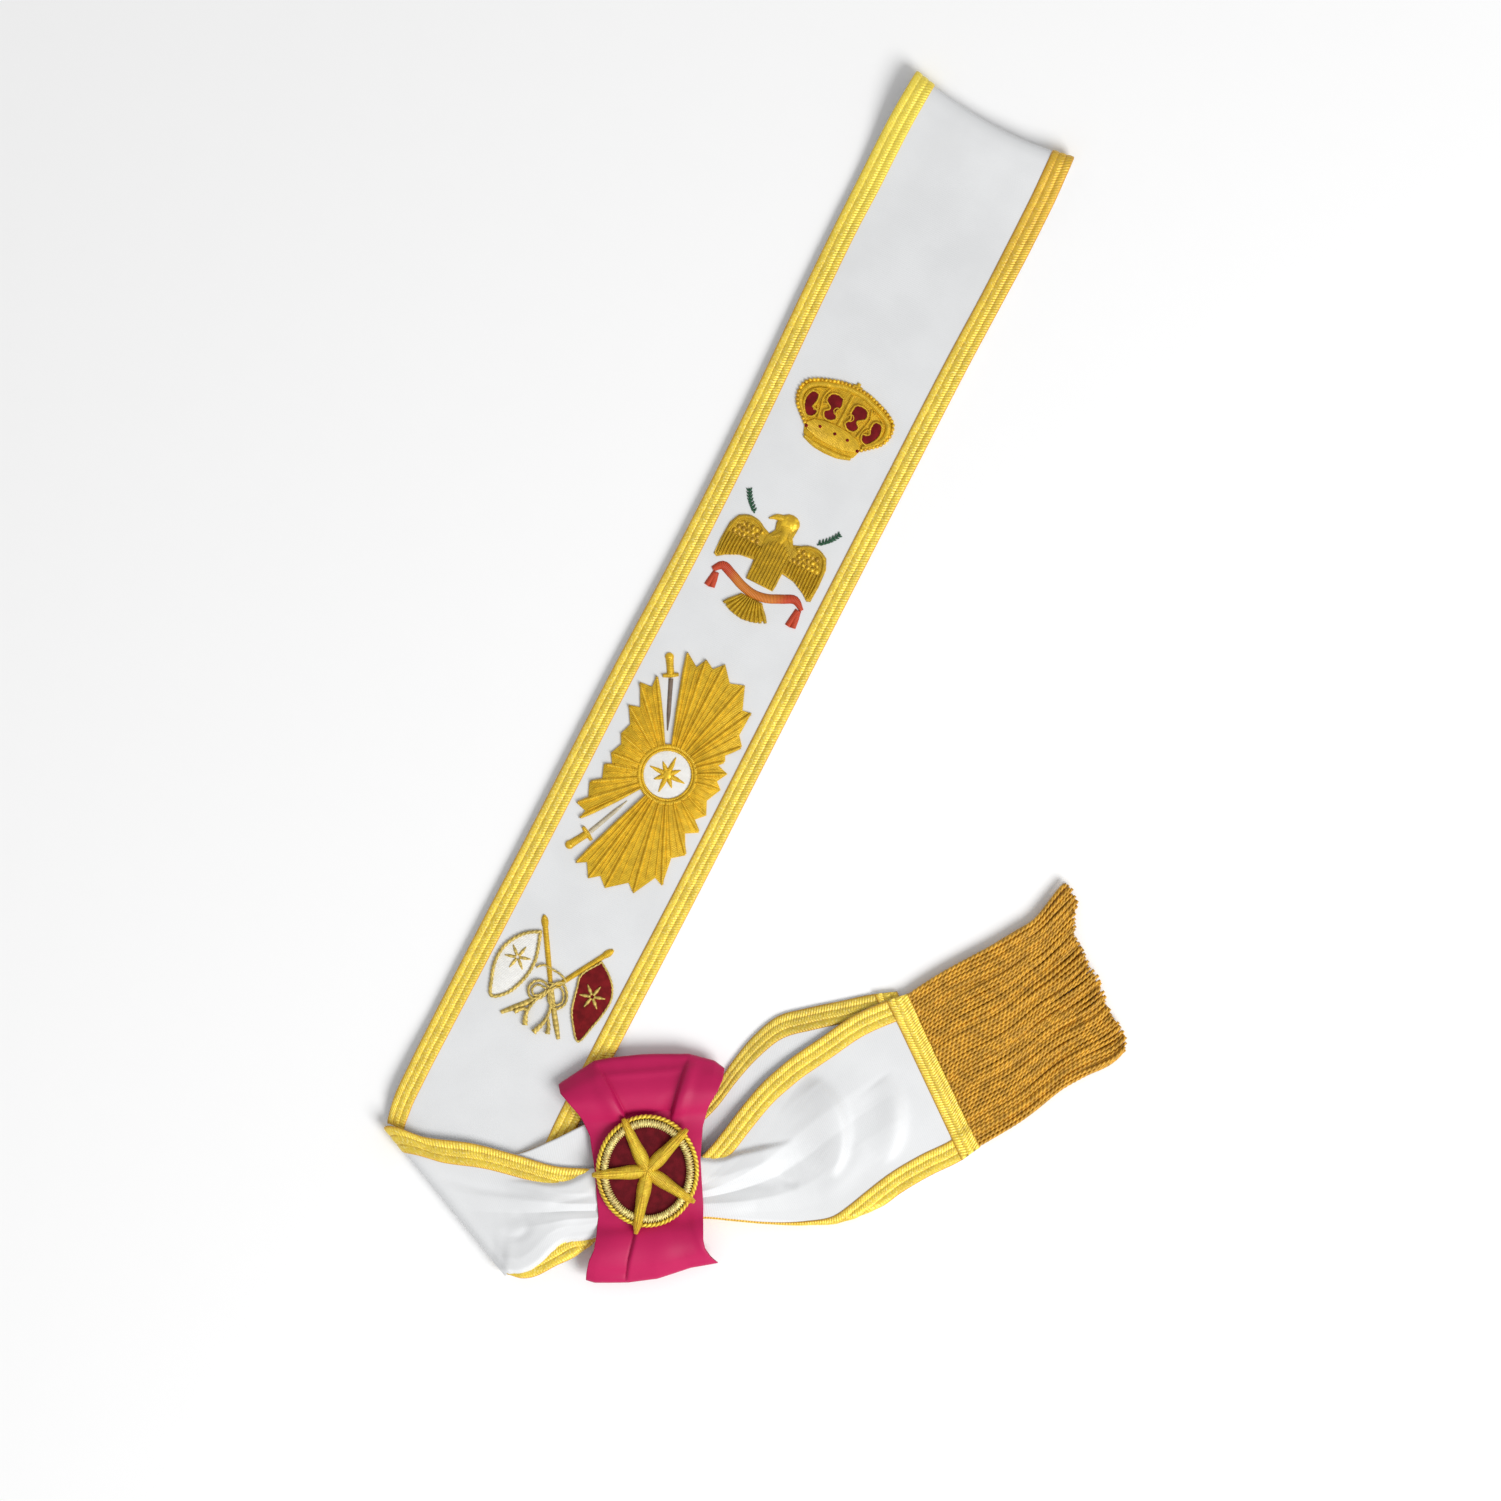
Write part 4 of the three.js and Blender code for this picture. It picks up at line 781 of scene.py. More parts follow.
    def finish(self, name, material, slot, replaced, smooth=True):
        """The finished object, in metres at its place in the model, riding the sash"""
        bmesh.ops.recalc_face_normals(self.bm, faces=self.bm.faces)
        placed = Matrix.Translation(ORIGIN) @ Matrix.Scale(MM, 4)
        bmesh.ops.transform(self.bm, matrix=placed, verts=self.bm.verts)
        mesh = bpy.data.meshes.new(name)
        self.bm.to_mesh(mesh)
        self.bm.free()
        mesh.polygons.foreach_set("use_smooth", [smooth] * len(mesh.polygons))
        mesh.materials.append(material)
        piece = bpy.data.objects.new(name, mesh)
        bpy.context.scene.collection.objects.link(piece)
        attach(piece, "root")
        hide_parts(*replaced)
        return piece


def give_thickness(piece, thickness):
    """Both faces and the edges of a sheet of cloth"""
    modifier = piece.modifiers.new("thickness", "SOLIDIFY")
    modifier.thickness = thickness
    modifier.offset = 0.0


class Value:
    """A socket that takes part in arithmetic, adding the Math nodes it needs"""

    def __init__(self, finish, source):
        self.finish = finish
        self.source = source

    def math(self, operation, *values):
        return self.finish.node("Math", {"operation": operation}, dict(enumerate(values)))

    def __add__(self, other):
        return self.math("ADD", self, other)

    def __radd__(self, other):
        return self.math("ADD", other, self)

    def __sub__(self, other):
        return self.math("SUBTRACT", self, other)

    def __rsub__(self, other):
        return self.math("SUBTRACT", other, self)

    def __mul__(self, other):
        return self.math("MULTIPLY", self, other)

    def __rmul__(self, other):
        return self.math("MULTIPLY", other, self)

    def sine(self):
        return self.math("SINE", self)

    def absolute(self):
        return self.math("ABSOLUTE", self)

    def smooth(self, low, high):
        """0 below low and 1 above high, with a soft step between"""
        sockets = {"Value": self, "From Min": low, "From Max": high}
        return self.finish.node("MapRange", {"interpolation_type": "SMOOTHSTEP"}, sockets)


class Finish:
    """One procedural material, built node by node"""

    def __init__(self, name, **constants):
        self.material = bpy.data.materials.new(name)
        self.material.use_nodes = True
        self.tree = self.material.node_tree
        self.shader = next(node for node in self.tree.nodes if node.type == "BSDF_PRINCIPLED")
        for socket, value in constants.items():
            self.shader.inputs[socket.replace("_", " ")].default_value = value

    def node(self, kind, settings=None, sockets=None, output=0):
        """Adds a node: its settings first, then its socket values or links; gives one output"""
        node = self.tree.nodes.new("ShaderNode" + kind)
        for name, value in (settings or {}).items():
            setattr(node, name, value)
        for key, value in (sockets or {}).items():
            if isinstance(value, Value):
                self.tree.links.new(value.source, node.inputs[key])
            else:
                node.inputs[key].default_value = value
        return Value(self, node.outputs[output])

    def where(self, kind):
        """Object or UV coordinates, metres"""
        return self.node("TexCoord", output=kind)

    def axis(self, vector, name):
        """One coordinate of a vector"""
        return self.node("SeparateXYZ", sockets={0: vector}, output=name)

    def noise(self, vector, size, detail=2.0, stretch=(1.0, 1.0, 1.0)):
        """Noise with grains of about size metres"""
        vector = self.node("Mapping", sockets={"Vector": vector, "Scale": stretch})
        return self.node("TexNoise", sockets={"Vector": vector, "Scale": 1 / size, "Detail": detail})

    def mix(self, factor, first, second):
        """A colour between two"""
        return self.node(
            "Mix", {"data_type": "RGBA", "clamp_factor": True}, {0: factor, 6: first, 7: second}, output=2,
        )

    def bump(self, height, distance, strength=1.0):
        """Relief of the given depth, metres"""
        return self.node("Bump", sockets={"Height": height, "Distance": distance, "Strength": strength})

    def surface(self, **varying):
        """Links what changes over the surface and gives the material"""
        for socket, value in varying.items():
            self.tree.links.new(value.source, self.shader.inputs[socket.replace("_", " ")])
        return self.material


def ribbon_silk(color, rib_pitch):
    """White ribbon with fine cross ribs and a soft, uneven sheen"""
    finish = Finish("ribbon_silk", Sheen_Weight=0.15, Sheen_Roughness=0.4)
    along = finish.axis(finish.where("UV"), "Y")
    ribs = (along * (2 * math.pi / rib_pitch)).sine()
    cloudy = finish.noise(finish.where("Object"), 0.03, 3.0)
    threads = finish.noise(finish.where("UV"), 0.0012, 2.0, (1.0, 6.0, 1.0))
    tint = finish.mix(cloudy.smooth(0.3, 0.7), shade(color, 0.95), color)
    tint = finish.mix(threads.smooth(0.5, 0.8) * 0.15, tint, shade(color, 0.82))
    relief = finish.bump(ribs * 0.5 + threads, 0.00006, 0.7)
    return finish.surface(Base_Color=tint, Roughness=cloudy * 0.2 + 0.42, Normal=relief)


def gold_braid(color, groove_color, edge_color, name="gold_braid", painted_shade_factor=1.0, painted_shoulder_shading=None):
    """Woven metal braid: three ribs, stitched grooves, warm edges, mottled, with painted glints; a shade
    factor below 1 darkens all of it as painted shade, and a colour given for the shoulder is mixed in there,
    as painted light when paler and as painted shade when darker
    """
    finish = Finish(name, Metallic=0.3)
    uv = finish.where("UV")
    across = finish.axis(uv, "X")
    along = finish.axis(uv, "Y")
    edge = (across.absolute() - INNER * MM) * (1 / (BRAID_WIDTH * MM))
    rib = (edge * (3 * math.pi)).sine().absolute()
    weave = ((along + (edge - 0.5).absolute() * 0.006) * (2 * math.pi / 0.0016)).sine()
    patches = finish.noise(finish.where("Object"), 0.008, 4.0)
    flecks = finish.noise(uv, 0.0012, 3.0)
    specks = finish.noise(finish.where("Object"), 0.0016, 2.0)
    broken = finish.noise(uv, 0.004, 2.0, (0.3, 1.0, 1.0))
    tint = finish.mix(patches.smooth(0.36, 0.64), shade(color, 0.88 * painted_shade_factor), shade(color, 1.04 * painted_shade_factor))
    tint = finish.mix(specks.smooth(0.5, 0.66) * 0.24, tint, shade(groove_color, 1.5 * painted_shade_factor))
    # Painted glints: pale specks mixed into the colour where the fine noise peaks
    tint = finish.mix(flecks.smooth(0.5, 0.68) * 0.55, tint, shade(srgb(255, 240, 160), painted_shade_factor))
    groove = (1 - rib.smooth(0.0, 0.4)) * broken.smooth(0.3, 0.6)
    tint = finish.mix(groove * 0.5, tint, groove_color)
    rim = (edge - 0.5).absolute().smooth(0.36, 0.5)
    tint = finish.mix(rim * 0.6, tint, shade(edge_color, painted_shade_factor))
    # Painted shoulder shading: towards the shoulder, where the loop turns, the given colour is mixed in along
    # the model's Y, a paler one as painted light and a darker one as painted shade
    if painted_shoulder_shading:
        far = finish.axis(finish.where("Object"), "Y").smooth(*SHOULDER_PAINTED_SHADING_REACH)
        tint = finish.mix(far * (flecks * 0.4 + 0.3), tint, painted_shoulder_shading)
    relief = finish.bump(weave * 0.35 + flecks, 0.0003, 0.8)
    return finish.surface(Base_Color=tint, Roughness=flecks * 0.3 + 0.32, Normal=relief)


def twisted_thread(name, color, shadow_color, metallic=0.2, pitch=0.003):
    """Twisted gold cord, darker between its turns"""
    finish = Finish(name, Metallic=metallic, Roughness=0.5)
    uv = finish.where("UV")
    around = finish.axis(uv, "X")
    along = finish.axis(uv, "Y")
    turns = ((around * 2 - along * (1 / pitch)) * (2 * math.pi) + math.pi / 2).sine()
    patches = finish.noise(finish.where("Object"), 0.005, 3.0)
    fibres = finish.noise(finish.where("Object"), 0.0008, 2.0)
    tint = finish.mix(patches.smooth(0.3, 0.7), shade(color, 0.72), shade(color, 1.15))
    tint = finish.mix((1 - turns.smooth(-1.0, 0.1)) * 0.6, tint, shadow_color)
    return finish.surface(Base_Color=tint, Normal=finish.bump(turns * 0.6 + fibres, 0.00025, 0.8))


def bow_satin(color, shadow_color):
    """Magenta satin with a fine grain across the bow"""
    finish = Finish("bow_satin", Specular_IOR_Level=0.25)
    cloudy = finish.noise(finish.where("Object"), 0.025, 2.0)
    threads = finish.noise(finish.where("UV"), 0.0006, 2.0, (0.15, 1.0, 1.0))
    tint = finish.mix(cloudy.smooth(0.35, 0.65) * 0.5, color, shadow_color)
    tint = finish.mix(threads.smooth(0.5, 0.8) * 0.2, tint, shade(color, 1.25))
    relief = finish.bump(threads, 0.00006, 0.8)
    return finish.surface(Base_Color=tint, Roughness=threads * 0.2 + 0.4, Normal=relief)


def velvet(color, name="velvet"):
    """Short dark pile"""
    finish = Finish(name, Roughness=0.95, Specular_IOR_Level=0.2, Sheen_Weight=0.12, Sheen_Roughness=0.5)
    finish.shader.inputs["Sheen Tint"].default_value = shade(color, 3.0)
    pile = finish.noise(finish.where("Object"), 0.0006, 3.0)
    patches = finish.noise(finish.where("Object"), 0.005, 2.0)
    tint = finish.mix(patches.smooth(0.3, 0.75), shade(color, 0.75), shade(color, 1.25))
    return finish.surface(Base_Color=tint, Normal=finish.bump(pile, 0.0003, 0.8))


def satin_stitch(name, color, dark, pitch=0.0007, metallic=0.3, contrast=0.55, variation=0.15):
    """Close parallel threads that run across the strip or patch they fill"""
    finish = Finish(name, Roughness=0.42, Metallic=metallic)
    uv = finish.where("UV")
    wander = finish.noise(finish.where("Object"), 0.004, 2.0)
    thread = ((finish.axis(uv, "Y") + wander * 0.0012) * (2 * math.pi / pitch)).sine()
    patches = finish.noise(finish.where("Object"), 0.0035, 3.0)
    tint = finish.mix(patches.smooth(0.3, 0.7), shade(color, 1 - variation), shade(color, 1 + variation))
    tint = finish.mix((1 - thread.smooth(-1.0, 0.0)) * contrast, tint, dark)
    return finish.surface(Base_Color=tint, Normal=finish.bump(thread, 0.00016, 0.8))


def color_property(name, description, default):
    """A colour of the panel"""
    return FloatVectorProperty(
        name=name, description=description, default=default, size=4, subtype="COLOR", min=0.0, max=1.0,
    )


def length_property(name, description, millimetres):
    """A length of the panel, kept in metres"""
    return FloatProperty(
        name=name, description=description, default=millimetres * MM, subtype="DISTANCE", unit="LENGTH",
        precision=5, min=0.0,
    )


def count_property(name, description, default, least):
    """A number of the panel"""
    return IntProperty(name=name, description=description, default=default, min=least)


class SashCloth(bpy.types.PropertyGroup):
    color: color_property("Ribbon", "Colour of the ribbon", srgb(225, 226, 227))
    thickness: length_property("Thickness", "Thickness of the ribbon", 1.0)
    rib_pitch: length_property("Rib pitch", "Distance between two cross ribs of the ribbon", 1.1)


class SashTrim(bpy.types.PropertyGroup):
    braid_color: color_property("Braid", "Colour of the edge braid", srgb(246, 214, 74))
    groove_color: color_property("Braid grooves", "Colour in the grooves of the braid", srgb(162, 104, 20))
    edge_color: color_property("Braid edges", "Colour along both edges of the braid", srgb(216, 150, 44))
    braid_rise: length_property("Braid rise", "Height of the ribs of the braid above its grooves", 0.5)
    fringe_color: color_property("Fringe", "Colour of the fringe cords", srgb(216, 162, 46))
    fringe_shadow: color_property("Fringe shadow", "Colour between the turns of a cord", srgb(140, 86, 14))
    cord_radius: length_property("Cord radius", "Radius of a fringe cord", 1.15)
    cord_count: count_property("Cords", "Cords in the top layer of the fringe", 46, 10)


class SashBow(bpy.types.PropertyGroup):
    color: color_property("Bow", "Colour of the bow", srgb(188, 24, 86))
    shadow_color: color_property("Bow shadow", "Colour of the darker areas of the satin", srgb(174, 18, 78))
    pleat_depth: length_property("Pleat depth", "Depth of the recessed box pleat", 3.4)
    thickness: length_property("Thickness", "Thickness of the satin", 0.9)


class SashBadge(bpy.types.PropertyGroup):
    velvet_color: color_property("Velvet", "Colour of the badge's velvet", srgb(100, 18, 28))
    coil_color: color_property("Coil", "Colour of the bullion coil", srgb(252, 230, 150))
    star_color: color_property("Star", "Colour of the star", srgb(255, 212, 66))
    coil_turns: count_property("Coil turns", "Turns of bullion round the badge", 118, 20)


class SashStitching(bpy.types.PropertyGroup):
    gold: color_property("Gold thread", "Colour of the gold embroidery", srgb(240, 196, 44))
    dark_gold: color_property("Shaded gold", "Colour between the gold threads", srgb(166, 114, 18))
    pale_gold: color_property("Pale gold", "Colour of the cord outlines", srgb(218, 190, 98))
    red: color_property("Red thread", "Colour of the ribbon below the bird", srgb(206, 72, 36))
    orange: color_property("Orange thread", "Colour of the middle of that ribbon", srgb(222, 132, 40))
    green: color_property("Green thread", "Colour of the sprigs", srgb(52, 100, 72))
    grey: color_property("Grey thread", "Colour of the dark blade and lines", srgb(142, 124, 112))
    maroon: color_property("Maroon", "Colour of the dark flag and the crown's velvet", srgb(116, 22, 26))
    white: color_property("White thread", "Colour of the white fields", srgb(254, 253, 249))
    relief: length_property("Relief", "Height of the raised stitches", 1.7)


class SashStage(bpy.types.PropertyGroup):
    floor_color: color_property("Floor", "Colour of the floor", srgb(250, 250, 250))
    key_power: FloatProperty(
        name="Key light", description="Power of the soft light", default=88.0, min=0.0, unit="POWER",
    )
    sky: FloatProperty(name="Sky", description="Strength of the even light", default=0.5, min=0.0)


class SASH_OT_ribbon(bpy.types.Operator):
    """Makes the ribbon loop with its over tail, and the under tail"""
    bl_idname = "sash.ribbon"
    bl_label = "Ribbon"

    def execute(self, context):
        settings = context.scene.sash_cloth
        silk = ribbon_silk(settings.color, settings.rib_pitch)
        across = np.linspace(-HALF, HALF, RIBBON_COLUMNS)
        cloth = main_cloth(across)
        top_length = run_length(smooth_line([row[:2] for row in OVER_RUN], 3.0))[-1]
        top = cloth.along < top_length - PRESSED_STOP
        points = cloth.points.copy()
        flat = points[top].reshape(-1, 3)
        free = np.interp(np.abs(across), (INNER - DENT_MARGIN, INNER), (1, 0))
        free = np.tile(free, len(flat) // len(across))
        flat[:, 2] += pressed_height(flat[:, :2], free)
        points[top] = flat.reshape(points[top].shape)
        piece = Piece()
        piece.sheet(points, across, cloth.along)
        ribbon = piece.finish("ribbon", silk, "ribbon", ["sash_ribbon"])
        give_thickness(ribbon, settings.thickness)

        wide = np.linspace(-HALF, HALF, TAIL_COLUMNS)
        tail = tail_cloth(wide)
        piece = Piece()
        piece.sheet(tail.points, wide, tail.along)
        under = piece.finish("ribbon_under_tail", silk, "ribbon", ["tail_under"])
        give_thickness(under, settings.thickness)
        return {"FINISHED"}


def hidden_share(points):
    """1 where an edge turns round the lower corner of the fold, inside the cloth, and 0 further off"""
    ends = np.array(CREASE)
    corner = ends[0] + (ends[1] - ends[0]) * (1 - SUNK_BRAID_AT * BRAID_WIDTH / RIBBON_WIDTH)
    gap = np.linalg.norm(points[:, points.shape[1] // 2, :2] - corner, axis=1)
    return np.interp(gap, SUNK_BRAID_REACH, (1.0, 0.0))


def add_braid(piece, points, normals, across, along, rise):
    """A braid of three ribs on a strip of cloth"""
    hidden = hidden_share(points)[:, None, None]
    share = np.linspace(0, 1, len(across))
    ribs = BRAID_GROOVE + rise * np.abs(np.sin(3 * math.pi * share)) ** 0.6
    ribs[[0, -1]] = BRAID_SIDE
    top = points + normals * ribs[None, :, None] * (1 - hidden)
    below = [-1, len(across) // 2, 0]
    low = points[:, below] + normals[:, below] * (BRAID_BOTTOM - 0.75 * hidden)
    rings = np.concatenate([top, low], axis=1)
    rings[:, :, 2] = np.maximum(rings[:, :, 2], 0.02)
    around = np.concatenate([across, across[below]])
    piece.tube(rings, around, along)


class SASH_OT_braid(bpy.types.Operator):
    """Makes the gold braid along both edges and across the ends of the tails"""
    bl_idname = "sash.braid"
    bl_label = "Braid"

    def execute(self, context):
        settings = context.scene.sash_trim
        rise = settings.braid_rise / MM
        colors = (settings.braid_color, settings.groove_color, settings.edge_color)
        braid = gold_braid(*colors)
        # Towards the shoulder the left braid takes painted light (a paler lemon) and the right braid painted
        # shade (a darker orange)
        painted_light_braid = gold_braid(*colors, "gold_braid_left", 1.0, srgb(255, 238, 96))
        orange = gold_braid(*colors, "gold_braid_right", 1.0, srgb(206, 146, 30))
        # Painted shade: the under tail's braids lie beneath the over tail and take a copy of the braid
        # darkened to 0.78
        painted_shade_braid = gold_braid(*colors, "gold_braid_shaded", 0.78)
        left = np.linspace(-HALF, -INNER, BRAID_COLUMNS)
        right = np.linspace(INNER, HALF, BRAID_COLUMNS)
        for name, side, make, material, node in (
            ("braid_loop_left", left, main_cloth, painted_light_braid, "braid_left"),
            ("braid_loop_right", right, main_cloth, orange, "braid_right"),
            ("braid_tail_upper", left, tail_cloth, painted_shade_braid, "braid_under_upper"),
            ("braid_tail_lower", right, tail_cloth, painted_shade_braid, "braid_under_lower"),
        ):
            cloth = make(side)
            piece = Piece()
            add_braid(piece, cloth.points, cloth.normals, side, cloth.along, rise)
            piece.finish(name, material, "braid", [node])
        for name, table, node in (
            ("braid_end_top", OVER_RUN, "braid_end_over"), ("braid_end_low", UNDER_TAIL, "braid_end_under"),
        ):
            width = np.linspace(-HALF, HALF, END_BRAID_COLUMNS)
            first, second = cloth_row(table[0], width), cloth_row(table[1], width)
            share = np.linspace(0, 1, BRAID_COLUMNS)[None, :, None]
            points = first[:, None, :] * (1 - share) + second[:, None, :] * share
            points[:, :, 2] += END_BRAID_LIFT * soft_step(np.abs(width) - INNER, 0.8)[:, None]
            normals = np.zeros_like(points)
            normals[:, :, 2] = 1.0
            piece = Piece()
            add_braid(piece, points, normals, np.linspace(INNER, HALF, BRAID_COLUMNS), width, rise)
            piece.finish(name, braid, "braid", [node])
        return {"FINISHED"}


def fringe_layer(piece, chance, heading, count, radius, base, step, sides, depth, reach):
    """A layer of cords that leave a heading and follow the fringe's guide lines"""
    upper = smooth_line(FRINGE_TOP_SIDE, 4.0)
    lower = smooth_line(FRINGE_LOW_SIDE, 4.0)
    free = smooth_line(FRINGE_FREE_END, 2.0)
    rows = int(FRINGE_LENGTH / step)
    share = np.linspace(0, 1, rows)
    up_run = at_share(upper, share) - upper[0]
    low_run = at_share(lower, share) - lower[0]
    start, end = heading
    lock = [chance.uniform(-1, 1) for _ in range(count)]
    lift = [radius * chance.choice((-0.7, -0.2, 0.1, 0.4, 0.6)) for _ in range(count)]
    for index in range(count):
        t = (index + 0.5) / count
        origin = np.array(start) * (1 - t) + np.array(end) * t
        tip = at_share(free, np.array([t]))[0]
        shape = up_run * (1 - t) + low_run * t
        length = (1.0 + 0.01 * chance.uniform(-1, 1)) * reach
        path = origin + (shape + share[:, None] * (tip - origin - shape[-1])) * length
        group = lock[index // 3]
        turn = 2 * math.pi * (share * 1.05 + t * 0.5 + 0.1)
        wave = FRINGE_SWAY * np.sin(math.pi * share) ** 0.7 * np.sin(turn)
        wave += 0.9 * share ** 0.8 * np.sin(share * (6 + group) + group * 3) * group
        wave += 0.4 * share * np.sin(share * 14 + chance.uniform(0, 6)) + chance.uniform(-0.8, 0.8) * share
        sideways = unit(np.gradient(path, axis=0))[:, ::-1] * np.array([-1.0, 1.0])
        path = path + sideways * wave[:, None]
        sag = base + 0.4 * np.sin(share * 9 + chance.uniform(0, 6)) * share + lift[index] * share ** 0.3
        sag = np.maximum(sag, radius)
        line = np.column_stack([path, sag])
        size = radius * chance.uniform(0.88, 1.1)
        phase = chance.uniform(0, FRINGE_PITCH)
        sizes = [size, size, size, size * 0.95, size * 0.8]
        piece.rope(line, sizes, FRINGE_PITCH, 2, sides, None, depth, phase=phase)


class SASH_OT_fringe(bpy.types.Operator):
    """Makes the cords of the fringe on both tails"""
    bl_idname = "sash.fringe"
    bl_label = "Fringe"

    def execute(self, context):
        settings = context.scene.sash_trim
        chance = random.Random(7)
        colors = (settings.fringe_color, settings.fringe_shadow)
        cord = twisted_thread("fringe_cord", *colors, pitch=FRINGE_PITCH * MM)
        radius = settings.cord_radius / MM
        for name, heading, layers, node in (
            ("fringe_top", TOP_FRINGE_HEADING, TOP_FRINGE_LAYERS, "fringe_over"),
            ("fringe_low", LOW_FRINGE_HEADING, LOW_FRINGE_LAYERS, "fringe_under"),
        ):
            piece = Piece()
            for share, *layer in layers:
                fringe_layer(piece, chance, heading, round(settings.cord_count * share), radius, *layer)
            piece.finish(name, cord, "fringe", [node])
        return {"FINISHED"}


def on_table(table, places):
    """Values of a table of pairs at places between them"""
    places_given, values = zip(*table)
    return np.interp(places, places_given, values)


def bow_surface(pleat_depth):
    """Points of the bow's satin, rows along it by columns across it"""
    first, last = BOW_TOP_ROWS
    path = smooth_line([(along, z, index * 0.01) for index, (along, z) in enumerate(BOW_PATH)], 1.3)
    widths = np.array(BOW_WIDTHS)
    spread = np.linspace(-1, 1, BOW_COLUMNS)
    rows = []
    for along, z, place in path:
        left = -np.interp(along, widths[:, 0], widths[:, 1])
        right = np.interp(along, widths[:, 0], widths[:, 2])
        across = np.where(spread < 0, spread * left, spread * right)
        end = on_table(BOW_TOP_END if along > 0 else BOW_LOW_END, spread)
        v = along - math.copysign(1, along) * end * min(1.0, max(0.0, (abs(along) - 34) / 31)) ** 1.5
        on_top = first <= place / 0.01 <= last
        fade = on_top * np.interp(abs(along), (26, 32, 57, 64.5), (0, 1, 1, 0))
        if along > 0:
            left_gap = across - on_table(BOW_LEFT_CREASE, v)
            right_gap = on_table(BOW_RIGHT_CREASE, v) - across
            depth = np.interp(along, (22, 32, 50, 62), (0.8, 1.2, 0.8, 0.5)) * pleat_depth
            relief = -depth * soft_step(left_gap, 0.3) * soft_step(right_gap, 0.3)
            relief -= 1.3 * np.exp(-(left_gap / 0.9) ** 2) + 0.8 * np.exp(-(right_gap / 0.9) ** 2)
            relief += 1.1 * np.exp(-((left_gap + 5) / 4.5) ** 2)
            relief += 1.1 * np.exp(-((right_gap + 4) / 3.5) ** 2)
            inside = soft_step(left_gap, 2.0) * soft_step(right_gap, 2.0)
            relief += 0.9 * np.exp(-((v - 55.5) / 2.2) ** 2) * inside
            relief -= 1.2 * np.exp(-((right_gap - 5) / 4) ** 2) * np.interp(along, (30, 44), (1, 0))
        else:
            gap = on_table(BOW_LOW_CREASE, v) - across
            relief = -0.6 * pleat_depth * soft_step(gap, 0.3) * np.exp(-np.maximum(gap, 0) / 14)
            relief -= 1.0 * np.exp(-(gap / 0.9) ** 2)
            relief += 0.5 * np.sin(across / 5.0 + 0.6) * np.exp(-((across - 10) / 16) ** 2)
            relief += 0.7 * np.exp(-((across - 26 + (along + 40) * 0.25) / 3) ** 2)
        height = z + relief * fade - on_top * 1.0 * np.abs(spread) ** 4
        rows.append(np.column_stack([
            BADGE_CENTRE[0] + across * math.cos(BOW_TURN) - v * math.sin(BOW_TURN),
            BADGE_CENTRE[1] + across * math.sin(BOW_TURN) + v * math.cos(BOW_TURN),
            height,
        ]))
    return np.array(rows), spread * BOW_MAP_HALF


class SASH_OT_bow(bpy.types.Operator):
    """Makes the satin bow that gathers the sash"""
    bl_idname = "sash.bow"
    bl_label = "Bow"

    def execute(self, context):
        settings = context.scene.sash_bow
        points, across = bow_surface(settings.pleat_depth / MM)
        along = run_length(points[:, len(across) // 2])
        piece = Piece()
        piece.sheet(points, across, along)
        satin = bow_satin(settings.color, settings.shadow_color)
        bow = piece.finish("bow", satin, "bow_satin", ["bow_ribbon"])
        give_thickness(bow, settings.thickness)
        return {"FINISHED"}


def oval_line(offset, z, count):
    """Points round the badge, set off from its oval"""
    angle = np.arange(count) / count * 2 * math.pi
    x = (BADGE_SEMI_AXES[0] + offset) * np.cos(angle)
    y = (BADGE_SEMI_AXES[1] + offset) * np.sin(angle)
    return np.column_stack([
        BADGE_CENTRE[0] + x * math.cos(BADGE_TURN) - y * math.sin(BADGE_TURN),
        BADGE_CENTRE[1] + x * math.sin(BADGE_TURN) + y * math.cos(BADGE_TURN),
        np.full(count, BADGE_BASE_Z + z),
    ])


